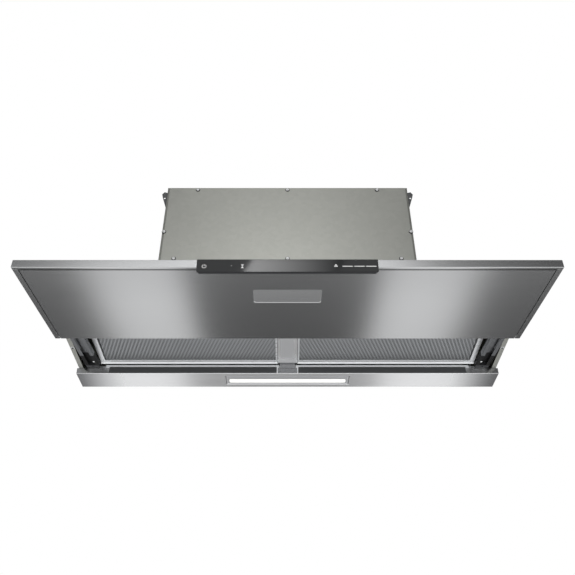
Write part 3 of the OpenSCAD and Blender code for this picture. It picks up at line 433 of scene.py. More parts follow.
def cut(obj, tool):
    """Takes one piece's space out of another, and the tool with it."""
    deselect()
    bpy.context.view_layer.objects.active = obj
    obj.select_set(True)
    bpy.ops.object.modifier_add(type="BOOLEAN")
    obj.modifiers[-1].operation = "DIFFERENCE"
    obj.modifiers[-1].object = tool
    bpy.ops.object.modifier_apply(modifier=obj.modifiers[-1].name)
    bpy.data.objects.remove(tool)


def trim(obj, axis, place, sign):
    """Cuts off what lies beyond a place along an axis, in mm, and closes the cut."""
    index = "xyz".index(axis)
    spot, normal = [0, 0, 0], [0, 0, 0]
    spot[index], normal[index] = place * MM, sign
    choose(obj, "FACE", lambda f: True)
    bpy.ops.mesh.bisect(plane_co=spot, plane_no=normal, clear_outer=True, use_fill=True)
    bpy.ops.object.mode_set(mode="OBJECT")
    return obj


def copied(obj, name, place=(0, 0, 0), turn=(0, 0, 0), mirror=False):
    """A copy of a piece with its own mesh, moved in mm, turned, or mirrored across X."""
    deselect()
    twin = obj.copy()
    twin.data = obj.data.copy()
    twin.name = name
    bpy.context.scene.collection.objects.link(twin)
    twin.select_set(True)
    bpy.context.view_layer.objects.active = twin
    twin.location = [v * MM for v in place]
    twin.rotation_euler = turn
    twin.scale = (-1 if mirror else 1, 1, 1)
    bpy.ops.object.transform_apply(location=True, rotation=True, scale=True)
    if mirror:
        choose(twin, "FACE", lambda f: True)
        bpy.ops.mesh.normals_make_consistent(inside=False)
        bpy.ops.object.mode_set(mode="OBJECT")
    return twin


BOX_HALF, BOX_FRONT, BOX_BEND = 272.5, -191, 3.0
eased("box_wrap", zinc, bend=BOX_BEND,
      bends=bend_z((BOX_HALF, BOX_FRONT), (BOX_HALF, 0)))
eased("box_top", zinc)
# The cover and the apron below it stop short of the bends at the box's corners
for node in ("box_apron", "front_cover"):
    sheet = trim(trim(merged(node), "x", COVER_HALF, 1), "x", -COVER_HALF, -1)
    sheet.name = node + "_piece"
    round_off(sheet, sharp, SHEET_EDGE, 2)
    dress(sheet, zinc, (node,), "casing")

# Zinc-plated steel: small turned and pressed parts, brighter and smoother than the sheet.
plated, tree, shader = surface("zinc_plated_steel", "#DCDDDE", 0.55, 0.28)
pattern(tree, shader, (2, 2, 2), roughness=(0.22, 0.34))

# Black moulded rubber: dull, nearly without a sheen, in the dark discs under the screw heads,
# which give each head a dark ring.
rubber, tree, shader = surface("black_moulded_rubber", "#1B1B1B", 0.0, 0.6)
pattern(tree, shader, (0.4, 0.4, 0.4), relief=(0.02, 0.5))

COVER_FACE, UNDER_DISC, UNDER_DISC_R, HEAD, HEAD_R = -192.0, 0.6, 4.9, 1.7, 3.4
HEAD_ROUND, CROSS_LONG, CROSS_WIDE, CROSS_DEEP, EACH_TURNED = 0.7, 1.9, 0.45, 0.9, 0.65
screw_head = rod("screw_head", HEAD_R, (0, 0, 0), (0, -HEAD, 0), 32, HEAD_ROUND)
for half_x, half_z in ((CROSS_LONG, CROSS_WIDE), (CROSS_WIDE, CROSS_LONG)):
    cut(screw_head, block("cross", (-half_x, half_x), (-HEAD - 1, -HEAD + CROSS_DEEP),
                          (-half_z, half_z)))
SCREWS = ((-203.5, 388.8), (0, 388.8), (203.5, 388.8), (-268, 268), (268, 268),
          (-240, 196), (0, 196), (240, 196))
# Each screw head sits on a dark disc that rings it in black
for number, (x, z) in enumerate(SCREWS):
    dark_disc = rod(f"screw_washer_{number}", UNDER_DISC_R, (x, COVER_FACE, z),
                 (x, COVER_FACE - UNDER_DISC, z), sides=32)
    dress(dark_disc, rubber, ("cover_screws",), "casing")
    head = copied(screw_head, f"screw_head_{number}", (x, COVER_FACE - UNDER_DISC, z),
                  (0, EACH_TURNED * number, 0))
    dress(head, plated, ("cover_screws",), "casing")
bpy.data.objects.remove(screw_head)

# The ears that hold the hood while it is fitted, and the angles for the cabinet's sides
for side in ("left", "right"):
    eased("hanging_ear_" + side, black_steel)
    eased("cabinet_bracket_" + side, black_steel)

# Duct collar
# The collar is moulded of ABS and clips on the box's roof. Its two flaps, moulded of nylon,
# stop the air from coming back, and turn on one steel pin.

# Black moulded ABS: finely sparked in the mould, so it is near black with a soft, even sheen.
black_moulding, tree, shader = surface("black_moulded_abs", "#26272A", 0.0, 0.45)
pattern(tree, shader, (3.3, 3.3, 3.3), roughness=(0.4, 0.52))
pattern(tree, shader, (0.4, 0.4, 0.4), relief=(0.02, 0.5))
# Grey moulded nylon: glass-filled, duller and a little rougher to the eye.
flap_moulding, tree, shader = surface("grey_moulded_nylon", "#4A4C50", 0.0, 0.5)
pattern(tree, shader, (0.4, 0.4, 0.4), relief=(0.02, 0.5))
# Ground steel: bright, with fine rings that the grinding wheel left round the bar.
bright_steel, tree, shader = surface("ground_steel", "#D0D1D3", 1.0, 0.18)
pattern(tree, shader, (0.33, 25, 0.33), relief=(0.005, 0.3))
eased("duct_collar", black_moulding, edge=0.4)
eased("flap_pin", bright_steel)
for side in ("front", "rear"):
    eased("flap_" + side, flap_moulding, body="flap_" + side, edge=0.3)
eased("cable_gland", black_moulding, edge=0.5)

# Blower
# A double-inlet wheel of pale polypropylene turns in a grey scroll that is moulded in two
# shells. The motor hangs in the right inlet on a three-armed bracket of plated steel.

# Grey moulded polypropylene: waxy and dull, with the fine grain of its mould.
blower_moulding, tree, shader = surface("grey_moulded_polypropylene", "#4A4E54", 0.0, 0.5)
pattern(tree, shader, (0.55, 0.55, 0.55), relief=(0.02, 0.5))
# Pale moulded polypropylene: the same without pigment, a cool light grey.
wheel_moulding, tree, shader = surface("pale_moulded_polypropylene", "#C2C6CA", 0.0, 0.45)
pattern(tree, shader, (0.55, 0.55, 0.55), relief=(0.02, 0.4))
# Die-cast aluminium: a blasted skin, mid grey and rough, that shows no clear reflection.
motor_casting, tree, shader = surface("die_cast_aluminium", "#8C8F93", 1.0, 0.5)
pattern(tree, shader, (1.4, 1.4, 1.4), relief=(0.05, 0.6))
eased("scroll_shell_left", blower_moulding, edge=0)
eased("scroll_shell_right", blower_moulding, edge=0)
eased("inlet_rings", black_moulding, edge=0)
eased("fan_wheel", wheel_moulding, body="fan", edge=0)
eased("motor_shaft", bright_steel, body="fan", edge=0.3)
eased("motor", motor_casting, edge=1.0)
eased("motor_spider", plated, edge=0.3)

# Electrics
# A moulded case of pale ABS on the left side of the box holds the board and the motor's
# capacitor. Its lid snaps on.

# Pale moulded ABS: a light grey with a low sheen.
case_moulding, tree, shader = surface("pale_moulded_abs", "#D6D8D9", 0.0, 0.45)
pattern(tree, shader, (0.55, 0.55, 0.55), relief=(0.02, 0.4))
# Green circuit board: solder mask over copper, a smooth green that is paler over the tracks.
board, tree, shader = surface("green_circuit_board", "#1F6B3A", 0.0, 0.35)
pattern(tree, shader, (7, 7, 7), colours=("#1A5F33", "#2A7C46"), detail=1.0)
eased("electronics_tray", case_moulding, edge=0.4)
eased("electronics_lid", case_moulding, edge=0.4)
eased("main_board", board, edge=0)
eased("capacitor", case_moulding, edge=0.6)

# Lamp strip
# A folded strip of satin stainless steel under the rear of the hood carries the lamp. A rail
# of black painted steel along its front is put where the strip's front sits in shade: painted
# shade.


def bend_x(*places):
    """A test for the long edges along X that lie at these places in Y and Z, in mm."""
    def test(edge):
        a, b = (v.co / MM for v in edge.verts)
        return abs(a.x - b.x) > 3 and any(
            abs(a.y - y) < 0.2 and abs(a.z - z) < 0.2 for y, z in places)
    return test


def joined(*parts):
    """One piece from several."""
    deselect()
    for part in parts:
        part.select_set(True)
    bpy.context.view_layer.objects.active = parts[0]
    bpy.ops.object.join()
    return parts[0]


def at(axis, value, spread=0.05):
    """A test for parts whose vertices all lie at one place along an axis, in mm."""
    index = "xyz".index(axis)
    return lambda part: all(abs(v.co[index] / MM - value) < spread for v in (
        part.verts if hasattr(part, "verts") else [part]))


def upright(edge):
    """True on an edge that runs straight up."""
    a, b = (v.co / MM for v in edge.verts)
    return abs(a.x - b.x) + abs(a.y - b.y) < 0.01


# Satin stainless steel: the strip and the divider are blasted rather than brushed, so they
# scatter more of the light and stay paler. Where they face the room, and at the strip's ends,
# they are more metallic and painted darker: painted shade.
FOLD_Z, DIVIDER_END, STRIP_END = (-2.9, -2.3), (-59, -58), (350, 440)
satin, tree, shader = surface("satin_stainless_steel", "#DEDFE0", 0.74, 0.22)
pattern(tree, shader, (110, 2.4, 2.4), roughness=(0.2, 0.24))
pattern(tree, shader, (17, 0.7, 0.7), relief=(0.001, 0.2), detail=2.0)
where = add(tree, "ShaderNodeTexCoord")
axes = add(tree, "ShaderNodeSeparateXYZ", {0: where.outputs["Object"]})
aside = add(tree, "ShaderNodeMath", {0: axes.outputs["X"]}, operation="ABSOLUTE").outputs[0]
# Above the fold, which is the upstand, and behind the divider's rear end
above = add(tree, "ShaderNodeMapRange", {
    "Value": axes.outputs["Z"], "From Min": FOLD_Z[0] * MM,
    "From Max": FOLD_Z[1] * MM}).outputs[0]
behind = add(tree, "ShaderNodeMapRange", {
    "Value": axes.outputs["Y"], "From Min": DIVIDER_END[0] * MM,
    "From Max": DIVIDER_END[1] * MM}).outputs[0]
# Along the strip: less of the painted shade and metal where the slides' ends stand before the
# upstand
within = profile(tree, aside, (
    (0.0, 1.0), (0.377, 1.0), (0.380, 0.45), (0.418, 0.45), (0.430, 1.0), (0.45, 1.0)))
upstand_shade_and_metal = add(tree, "ShaderNodeMath", {0: above, 1: behind}, operation="MULTIPLY").outputs[0]
upstand_shade_and_metal = add(tree, "ShaderNodeMath", {0: upstand_shade_and_metal, 1: within}, operation="MULTIPLY").outputs[0]
level = add(tree, "ShaderNodeMath", {0: 1.0, 1: above}, operation="SUBTRACT").outputs[0]
end_shade_and_metal = add(tree, "ShaderNodeMapRange", {
    "Value": aside, "From Min": STRIP_END[0] * MM, "From Max": STRIP_END[1] * MM}).outputs[0]
end_shade_and_metal = add(tree, "ShaderNodeMath", {0: end_shade_and_metal, 1: level}, operation="MULTIPLY").outputs[0]
# Painted shade: a darker colour on the upstand's front faces and on the strip's ends
mix = add(tree, "ShaderNodeMix", {0: upstand_shade_and_metal, 6: linear("#E4E5E6"), 7: linear("#A6A7A9")},
          data_type="RGBA")
mix = add(tree, "ShaderNodeMix", {0: end_shade_and_metal, 6: mix.outputs[2], 7: linear("#B2B3B5")},
          data_type="RGBA")
tree.links.new(mix.outputs[2], shader.inputs["Base Color"])
metal = add(tree, "ShaderNodeMath", {0: upstand_shade_and_metal, 1: end_shade_and_metal}, operation="MAXIMUM").outputs[0]
metal = add(tree, "ShaderNodeMapRange", {"Value": metal, "To Min": 0.72, "To Max": 1.0})
tree.links.new(metal.outputs[0], shader.inputs["Metallic"])

STRIP_FRONT, STRIP_REAR, FALL = (-53, -3.3), (-1, -10.146), 7.5
eased("lamp_strip", satin, bends=bend_x(STRIP_FRONT, STRIP_REAR))
# Painted shade: the black rail stands where the strip's front face lies in shadow
eased("strip_rail", black_steel)


def tilt(obj, y, z):
    """Turns a piece that was made level to the strip's fall, with its origin at a place."""
    deselect()
    bpy.context.view_layer.objects.active = obj
    obj.select_set(True)
    obj.rotation_euler = (math.radians(-FALL), 0, 0)
    obj.location = (0, y * MM, z * MM)
    bpy.ops.object.transform_apply(location=True, rotation=True, scale=True)
    return obj


# Bright rolled edge: the mill's pale skin on folded-back steel and on rivet heads.
bright_edge, tree, shader = surface("bright_rolled_edge", "#E6E8EA", 0.3, 0.32)
pattern(tree, shader, (33, 1.1, 1.1), roughness=(0.3, 0.36))

# The upstand's top edge is folded back on itself, so that it is round and safe to the hand
HEM_X, HEM_Y, HEM_Z = (18, 386), (-53.3, -51.7), (10.4, 16.8)
TAB_X, TAB_Y, TAB_Z = (20.4, 22.8), (-54.1, -52.9), (-2.6, 12.0)
HEM_TOP, HEM_ROUND = 15, 0.75
hem = joined(block("strip_hem", HEM_X, HEM_Y, HEM_Z), block("hem_end", TAB_X, TAB_Y, TAB_Z))
round_off(hem, lambda e: sharp(e) and all(v.co.z / MM > HEM_TOP for v in e.verts),
          HEM_ROUND, 4)
for name, flip in (("strip_hem_right", False), ("strip_hem_left", True)):
    dress(copied(hem, name, mirror=flip), bright_edge, ("lamp_strip",), "casing")
bpy.data.objects.remove(hem)

# Silver-painted moulding: the lamp's frame, a little less bright than the steel round it.
bezel_moulding, tree, shader = surface("silver_painted_moulding", "#D8D9DB", 0.7, 0.28)
pattern(tree, shader, (0.7, 0.7, 0.7), relief=(0.01, 0.4))

BEZEL_HALF, BEZEL_Y, BEZEL_T, BEZEL_CORNER = 130.9, (10.15, 43.35), 9, 3
BEZEL_RIM, STEP_SLOPE, STEP_DEEP = 2, 0.3, 0.8
LIGHT_HALF, LIGHT_Y, LIGHT_CORNER = 125, (24.2, 36.8), 3.4
bezel = block("bezel", (-BEZEL_HALF, BEZEL_HALF), BEZEL_Y, (0, BEZEL_T))
round_off(bezel, upright, BEZEL_CORNER, 4)
choose(bezel, "FACE", lambda f: f.normal.z < -0.9)
bpy.ops.mesh.inset(thickness=BEZEL_RIM * MM, depth=0)
bpy.ops.mesh.inset(thickness=STEP_SLOPE * MM, depth=-STEP_DEEP * MM)
bpy.ops.object.mode_set(mode="OBJECT")
window = block("window", (-LIGHT_HALF, LIGHT_HALF), LIGHT_Y, (-5, BEZEL_T - 1))
round_off(window, upright, LIGHT_CORNER, 5)
cut(bezel, window)
round_off(bezel, lambda e: sharp(e, 50) and any(v.co.z / MM < 1 for v in e.verts), 0.3, 2)
dress(tilt(bezel, *STRIP_FRONT), bezel_moulding, ("lamp_bezel",), "casing")

# Opal polycarbonate: it is lit from behind, so it glows evenly white.
opal, tree, shader = surface("opal_polycarbonate", "#F4F4F0", 0.0, 0.4)
shader.inputs["Emission Color"].default_value = linear("#FFFFFB")
shader.inputs["Emission Strength"].default_value = 0.35
PANE_GAP, PANE_Z, PANE_EASE = 0.1, (0.4, 3.4), 0.8
pane = block("diffuser", (-LIGHT_HALF + PANE_GAP, LIGHT_HALF - PANE_GAP),
             (LIGHT_Y[0] + PANE_GAP, LIGHT_Y[1] - PANE_GAP), PANE_Z)
round_off(pane, upright, LIGHT_CORNER - PANE_GAP, 5)
round_off(pane, lambda e: at("z", PANE_Z[0])(e) and sharp(e), PANE_EASE, 3)
dress(tilt(pane, *STRIP_FRONT), opal, ("lamp_diffuser",), "casing")

# White solder mask: a smooth, clean white that throws the diodes' light down.
led_white = surface("white_solder_mask", "#F0F0EA", 0.0, 0.4)[0]
eased("led_board", led_white, edge=0)

# Divider and filters
# Aluminium frames hold packs of expanded aluminium mesh. They swing down on pins at their
# rear edge, and a latch at the front holds each of them up.


def rim_shade(tree, shader):
    """Darkens a net's colour toward its rear edge, where the rim keeps the light off it."""
    where = add(tree, "ShaderNodeTexCoord")
    axes = add(tree, "ShaderNodeSeparateXYZ", {0: where.outputs["Object"]})
    shade = profile(tree, axes.outputs["Y"], (
        (-0.180, 1.16), (-0.150, 1.12), (-0.092, 1.0), (-0.080, 0.86), (-0.064, 0.62),
        (0.0, 0.62)))
    mix = add(tree, "ShaderNodeMix", {
        0: 1.0, 6: shader.inputs["Base Color"].links[0].from_socket, 7: shade},
        data_type="RGBA", blend_type="MULTIPLY")
    tree.links.new(mix.outputs[2], shader.inputs["Base Color"])


# Drawn aluminium: folded frames with fine draw lines along X, pale and slightly dull.
aluminium, tree, shader = surface("drawn_aluminium", "#E2E4E6", 0.7, 0.28)
pattern(tree, shader, (80, 3.3, 3.3), roughness=(0.26, 0.34))
pattern(tree, shader, (33, 0.5, 0.5), relief=(0.004, 0.3))

# Expanded aluminium: slit and stretched sheet, whose edges scatter the light to a mid grey.
expanded, tree, shader = surface("expanded_aluminium", "#A9ABAD", 0.12, 0.6)
pattern(tree, shader, (2.5, 2.5, 2.5), colours=("#787A7C", "#888A8C"))
rim_shade(tree, shader)
# Pressed aluminium net: several layers in a pad, dark between the strands of the outer net.
pad_net, tree, shader = surface("pressed_aluminium_net", "#606264", 0.4, 0.5)
pattern(tree, shader, (2, 2, 2), colours=("#525456", "#727476"), detail=2.0)
rim_shade(tree, shader)
pattern(tree, shader, (1.7, 1.7, 1.7), relief=(0.6, 0.8), detail=2.0)

FILTER_IN, FILTER_OUT, FILTER_D, FILTER_T = 21.0, 397.2, 137.99, 9.0
RIM_OUT, RIM_IN, RIM_FRONT, RIM_REAR = 10.2, 4.0, 20.0, 9.0
REAR_LIP, BEAD_W, BEAD_DROP, WALL = -1.3, 3.2, 2.2, 0.8
LIP_Z, FRAME_BEND, WINDOW_BEND, PAD_ROUND = (0.7, 8.6), 0.9, 0.7, 0.8
LATCH_MID, LATCH_HALF, LATCH_DEEP, LATCH_Z = 208.75, 20.3, 13.3, (2.6, 6.4)
THUMB_HALF, THUMB_Y = 11.3, (4.2, 11.8)
PIN_R, PIN_Y, PIN_Z, PIN_IN, PIN_OUT = 2, -5, 4.5, (16.0, 21.4), (396.1, 401.5)
FILTER_HANG = (-56, 18.8)

eased("divider", satin)
eased("divider_plate", bezel_moulding, edge=0.35)

# The frame starts as a block. Its rear edge is drawn down into a bead, it is hollowed from
# above, its window is cut, and a turned-up lip is set round the window.
window_x = (FILTER_IN + RIM_IN, FILTER_OUT - RIM_OUT)
window_y = (-FILTER_D + RIM_FRONT, REAR_LIP - RIM_REAR)
filter_frame = block("filter_frame", (FILTER_IN, FILTER_OUT), (-FILTER_D, REAR_LIP),
                     (0, FILTER_T))
choose(filter_frame, "FACE", lambda f: True)
bpy.ops.mesh.bisect(plane_co=(0, (REAR_LIP - BEAD_W) * MM, 0), plane_no=(0, 1, 0))
bpy.ops.object.mode_set(mode="OBJECT")
choose(filter_frame, "VERT", lambda v: at("y", REAR_LIP)(v) and at("z", 0)(v))
bpy.ops.transform.translate(value=(0, 0, -BEAD_DROP * MM))
bpy.ops.object.mode_set(mode="OBJECT")
round_off(filter_frame, lambda e: sharp(e, 40) and all(v.co.z < 0.1 * MM for v in e.verts),
          FRAME_BEND, 3)
cut(filter_frame, block("hollow", (FILTER_IN + WALL, FILTER_OUT - WALL),
                        (-FILTER_D + WALL, REAR_LIP - WALL), (WALL, FILTER_T + 1)))
cut(filter_frame, block("window", window_x, window_y, (-5, 5)))
round_off(filter_frame, lambda e: at("z", 0)(e) and sharp(e, 60) and all(
    window_x[0] - 0.1 < v.co.x / MM < window_x[1] + 0.1 and
    window_y[0] - 0.1 < v.co.y / MM < window_y[1] + 0.1 for v in e.verts), WINDOW_BEND, 3)
lip = block("lip", *[(a - WALL, b + WALL) for a, b in (window_x, window_y)], LIP_Z)
cut(lip, block("lip_inside", window_x, window_y, (-5, 12)))
cut(filter_frame, block("latch_slot", (LATCH_MID - LATCH_HALF, LATCH_MID + LATCH_HALF),
                        (-FILTER_D - 1, -FILTER_D + LATCH_DEEP), LATCH_Z))
cut(filter_frame, block("thumb_slot", (LATCH_MID - THUMB_HALF, LATCH_MID + THUMB_HALF),
                        [-FILTER_D + y for y in THUMB_Y], (-1, LATCH_Z[0] + 0.2)))
pins = [rod("pin", PIN_R, (start, PIN_Y, PIN_Z), (end, PIN_Y, PIN_Z))
        for start, end in (PIN_IN, PIN_OUT)]
filter_frame = joined(filter_frame, lip, *pins)
tilt(filter_frame, *FILTER_HANG)


def strands(name, pitch, lean, width, z, x, y):
    """One set of parallel strands of a net, in mm, cut off at the edges of its field."""
    deep = y[1] - y[0]
    reach = abs(lean) * deep
    net = block(name, (-width / 2, width / 2), (-deep, deep), z)
    net.rotation_euler = (0, 0, -math.atan(lean))
    net.location = ((x[0] - reach) * MM, (y[0] + y[1]) / 2 * MM, 0)
    deselect()
    bpy.context.view_layer.objects.active = net
    net.select_set(True)
    bpy.ops.object.transform_apply(location=True, rotation=True, scale=True)
    bpy.ops.object.modifier_add(type="ARRAY")
    net.modifiers[-1].use_relative_offset = False
    net.modifiers[-1].use_constant_offset = True
    net.modifiers[-1].constant_offset_displace = (pitch * MM, 0, 0)
    net.modifiers[-1].count = int((x[1] - x[0] + 2 * reach) / pitch) + 1
    bpy.ops.object.modifier_apply(modifier=net.modifiers[-1].name)
    for axis, (low, high) in (("x", x), ("y", y)):
        trim(net, axis, low, -1)
        trim(net, axis, high, 1)
    return net


# The net is slit sheet pulled open: broad strands one way, and narrow ones across behind them
FIELD_GAP, FIELD_LAP = 2.6, 0.3
NET_PITCH, NET_LEAN, NET_W, NET_Z = 7.35, 0.39, 3.0, (2.1, 2.6)
BACK_PITCH, BACK_W, BACK_Z, PAD_Z = 3.7, 1.2, (2.5, 3.0), (3.2, 6.6)
field_x = (window_x[0] - FIELD_LAP, window_x[1] - FIELD_GAP)
field_y = (window_y[0] - FIELD_LAP, window_y[1] + FIELD_LAP)
net = joined(strands("filter_net", NET_PITCH, NET_LEAN, NET_W, NET_Z, field_x, field_y),
             strands("net_behind", BACK_PITCH, -NET_LEAN, BACK_W, BACK_Z, field_x, field_y))
tilt(net, *FILTER_HANG)
pad = block("filter_pad", field_x, field_y, PAD_Z)
round_off(pad, sharp, PAD_ROUND, 2)
tilt(pad, *FILTER_HANG)
for side, parts in (("left", [copied(o, o.name + "_left", mirror=True)
                              for o in (filter_frame, net, pad)]),
                    ("right", [filter_frame, net, pad])):
    body = "filter_" + side
    dress(parts[0], aluminium, ("filter_frame_" + side,), body)
    dress(parts[1], expanded, ("filter_mesh_" + side,), body)
    dress(parts[2], pad_net, ("filter_mesh_" + side,), body)
    eased("filter_latch_" + side, black_moulding, body="latch_" + side,
          edge=0.3)

# Slides
# Each side has a telescopic slide of three rolled steel members, hung on an angle of black
# painted steel. A moulded stop closes the fixed member's rear end.
eased("slide_carriers", black_steel)
# Rolled zinc-plated steel: a darker grey than the sheet, with long streaks from the rolls.
slide_steel, tree, shader = surface("rolled_zinc_plated_steel", "#85878A", 0.8, 0.4)
pattern(tree, shader, (3.3, 80, 3.3), roughness=(0.26, 0.4))
eased("slide_end_blocks", black_moulding, edge=0.5)
# Black dip coating: a thick matt skin of plastic over the fixed member's rear end.
dip, tree, shader = surface("black_dip_coating", "#161617", 0.0, 0.6,
                            **{"Specular IOR Level": 0.2})
pattern(tree, shader, (2.5, 2.5, 2.5), roughness=(0.55, 0.68))
BLACK_FROM, INNER_REAR, INNER_EDGE = -110.0, -211.4, 0.2
for side, sign in (("left", -1), ("right", 1)):
    # The fixed member's rear end is dipped in black, down to the stop behind it
    plain, dipped = merged("slide_outer_" + side), merged("slide_outer_" + side)
    plain.name, dipped.name = "slide_outer_" + side + "_piece", "slide_dip_" + side
    for part, direction, material in ((plain, 1, slide_steel), (dipped, -1, dip)):
        trim(part, "y", BLACK_FROM, direction)
        round_off(part, sharp, SHEET_EDGE, 2)
        dress(part, material, ("slide_outer_" + side,), "casing")
    eased("slide_middle_" + side, slide_steel, body="slide_middle_" + side)
    inner = trim(merged("slide_inner_" + side), "y", INNER_REAR, 1)
    inner.name = "slide_inner_" + side + "_piece"
    round_off(inner, sharp, INNER_EDGE, 2)
    dress(inner, slide_steel, ("slide_inner_" + side,), "screen")
    # The small round parts under each slide: radius, place from and to in Z, and eased edge
    outer, wall = "slide_outer_" + side, "side_wall_" + side
    for name, radius, x, y, low, high, ease, material, node, slot in (
            ("slide_rivet_", 2.2, 404.6, -84, 9.05, 8.2, 0.5, bright_edge, outer,
             "plated_screw"),
            ("flange_eyelet_", 3.9, 438.8, -126, 19.2, 18.5, 0.3, bright_edge, wall,
             "plated_screw"),
            ("flange_rivet_", 2.4, 438.8, -126, 18.7, 17.9, 0.3, rubber, wall,
             "black_moulding"),
            ("stop_screw_", 1.9, 412.0, -61, 13.4, 11.6, 0.5, plated, "slide_end_blocks",
             "plated_screw")):
        head = rod(name + side, radius, (sign * x, y, low), (sign * x, y, high), ease=ease)
        dress(head, material, (node,), "casing")

# Screen
# The screen is a flat tray of brushed stainless steel that is drawn out over the cooker. Its
# panel lies flush in a folded frame, and a folded strip closes its front.

# Brushed stainless steel: fine scratches along X that blur what it mirrors. They are drawn
# 2.4 mm apart, where the real ones are 0.3 mm, so that they show.
stainless, tree, shader = surface("brushed_stainless_steel", "#C6C7C8", 1.0, 0.2)
pattern(tree, shader, (110, 2.4, 2.4), colours=("#C4C5C6", "#C9CACB"), roughness=(0.18, 0.21),
        detail=4.0)
pattern(tree, shader, (40, 0.4, 0.4), relief=(0.001, 0.2), detail=2.0)

for node in ("screen_top", "screen_frame", "screen_panel"):
    eased(node, stainless, body="screen")

# The recess is pressed as a scoop: it slopes up from the panel to the wall the fingers pull on
CUP_X, CUP_FRONT, CUP_BACK, CUP_TOP, CUP_WALL = 60.0, -372.5, -329.0, 6.5, 0.8
SCOOP_TOP, SCOOP_FALL, SCOOP_CORNER, SCOOP_EASE = 5.6, 5.1, 5, 1.2
recess = block("finger_recess", (-CUP_X, CUP_X), (CUP_FRONT, CUP_BACK), (0, CUP_TOP))
scoop = block("scoop", (-CUP_X + CUP_WALL, CUP_X - CUP_WALL),
              (CUP_FRONT + CUP_WALL, CUP_BACK - CUP_WALL), (-4, SCOOP_TOP))
choose(scoop, "VERT", lambda v: at("z", SCOOP_TOP)(v) and v.co.y / MM > CUP_BACK - 5)
bpy.ops.transform.translate(value=(0, 0, -SCOOP_FALL * MM))
bpy.ops.object.mode_set(mode="OBJECT")
round_off(scoop, upright, SCOOP_CORNER, 6)
round_off(scoop, lambda e: sharp(e) and all(v.co.z / MM > 0.3 for v in e.verts),
          SCOOP_EASE, 4)
cut(recess, scoop)
dress(recess, stainless, ("finger_recess",), "screen")
FOLD_FRONT, FOLD_BACK, FOLD_TOP = -438, -418, 15
eased("front_strip", stainless, body="screen",
      bends=bend_x((FOLD_FRONT, 0), (FOLD_FRONT, FOLD_TOP), (FOLD_BACK, FOLD_TOP)))

# Controls
# A strip of glass covers the touch controls at the front. Its symbols are printed on it, and
# a moulded housing behind it holds the board.

# Black printed glass: toughened and printed behind, so it is dark and mirrors sharply.
dark_glass = surface("black_printed_glass", "#1C1D1E", 0.0, 0.06,
                     **{"Specular IOR Level": 0.3})[0]
eased("control_glass", dark_glass, body="screen", edge=0.4, steps=3)

# Pale grey ink and black ink: screen-printed, flat and matt on the glossy glass.
pale_ink = surface("pale_grey_ink", "#C4C4C4", 0.0, 0.5)[0]
black_ink = surface("black_ink", "#0C0C0C", 0.0, 0.5)[0]
FACE, INK_IN, INK_OUT, DISC_OUT, STROKE_OUT = -439.2, 0.05, 0.06, 0.03, 0.1
PRINT = (FACE - INK_OUT, FACE + INK_IN)


def mark(obj, ink):
    """Finishes one printed symbol."""
    dress(obj, ink, (), "screen")


def spot(name, radius, x, z, out, sides, ease=0.01):
    """A round spot of ink on the glass, in mm."""
    return rod(name, radius, (x, FACE + INK_IN, z), (x, FACE - out, z), sides, ease)


DASHES, DASH_LONG, DASH_Z, DASH_ROUND = (88.9, 107.9, 127.0), 16.7, (0.45, 1.95), 0.3
for number, x in enumerate(DASHES):
    dash = block(f"mark_dash_{number}", (x, x + DASH_LONG), PRINT, DASH_Z)
    round_off(dash, lambda e: at("x", x)(e) or at("x", x + DASH_LONG)(e), DASH_ROUND, 2)
    mark(dash, pale_ink)
POWER_X, POWER_Z, DISC_R, RING_R, RING_W, RING_GAP = -134.8, 1.2, 5.8, 3.2, 0.5, 1.3
RING_FLAT, RING_OUT, STROKE_Z = 0.12, 0.04, (0.6, 4.0)
mark(spot("mark_disc", DISC_R, POWER_X, POWER_Z, DISC_OUT, 48), black_ink)
deselect()
bpy.ops.mesh.primitive_torus_add(major_radius=RING_R * MM, minor_radius=RING_W * MM,
                                 major_segments=48, minor_segments=8,
                                 rotation=(math.radians(90), 0, 0))
ring = bpy.context.object
ring.name = "mark_power"
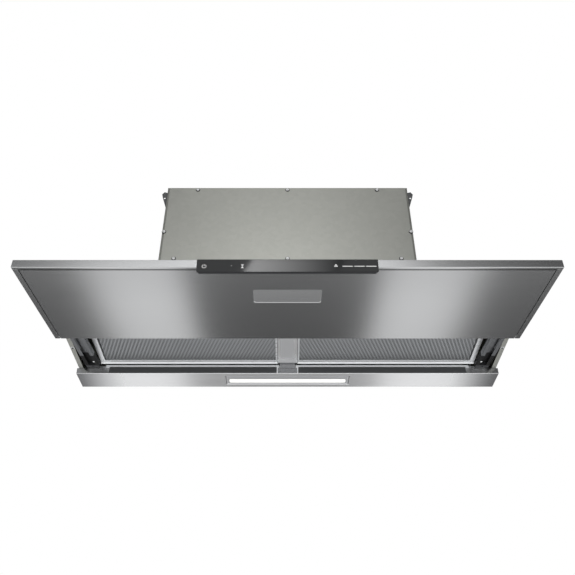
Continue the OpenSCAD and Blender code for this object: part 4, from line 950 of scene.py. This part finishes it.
bpy.ops.object.transform_apply(location=True, rotation=True, scale=True)
choose(ring, "VERT", lambda v: abs(v.co.x) < RING_GAP * MM and v.co.z > 0)
bpy.ops.mesh.delete(type="VERT")
bpy.ops.object.mode_set(mode="OBJECT")
choose(ring, "EDGE", lambda e: len(e.link_faces) == 1)
bpy.ops.mesh.edge_face_add()
bpy.ops.object.mode_set(mode="OBJECT")
ring.scale = (1, RING_FLAT, 1)
ring.location = (POWER_X * MM, (FACE - RING_OUT) * MM, POWER_Z * MM)
ring = joined(ring, block("mark_stroke", (POWER_X - RING_W, POWER_X + RING_W),
                          (FACE - STROKE_OUT, FACE), [POWER_Z + z for z in STROKE_Z]))
mark(ring, pale_ink)
DOT_X, DOT_Z, DOT_R = -90.8, 2.4, 0.5
mark(spot("mark_dot", DOT_R, DOT_X, DOT_Z, DISC_OUT, 16), pale_ink)
# The hourglass: a square whose sides are drawn in at half height
TIME_X, TIME_HALF, TIME_LOW, TIME_HIGH, WAIST = -72.9, 2.4, -2.4, 4.8, 0.12
middle = (TIME_LOW + TIME_HIGH) / 2
hourglass = block("mark_time", (-TIME_HALF, TIME_HALF), PRINT, (TIME_LOW, TIME_HIGH))
choose(hourglass, "EDGE", upright)
bpy.ops.mesh.subdivide(number_cuts=1)
bpy.ops.object.mode_set(mode="OBJECT")
choose(hourglass, "VERT", at("z", middle))
bpy.ops.transform.resize(value=(WAIST, 1, 1), center_override=(0, FACE * MM, middle * MM))
bpy.ops.object.mode_set(mode="OBJECT")
hourglass.location = (TIME_X * MM, 0, 0)
mark(hourglass, pale_ink)
FAN_X, FAN_Z, LOBE_R, LOBE_REACH = 78.4, 2.2, 1.35, 1.7
mark(joined(*[spot("mark_fan", LOBE_R, FAN_X + LOBE_REACH * math.sin(turn),
                   FAN_Z + LOBE_REACH * math.cos(turn), INK_OUT, 20, 0.02)
              for turn in (0.0, math.tau / 3, 2 * math.tau / 3)]), pale_ink)
eased("control_housing", black_moulding, body="screen")
eased("control_board", board, body="screen", edge=0)
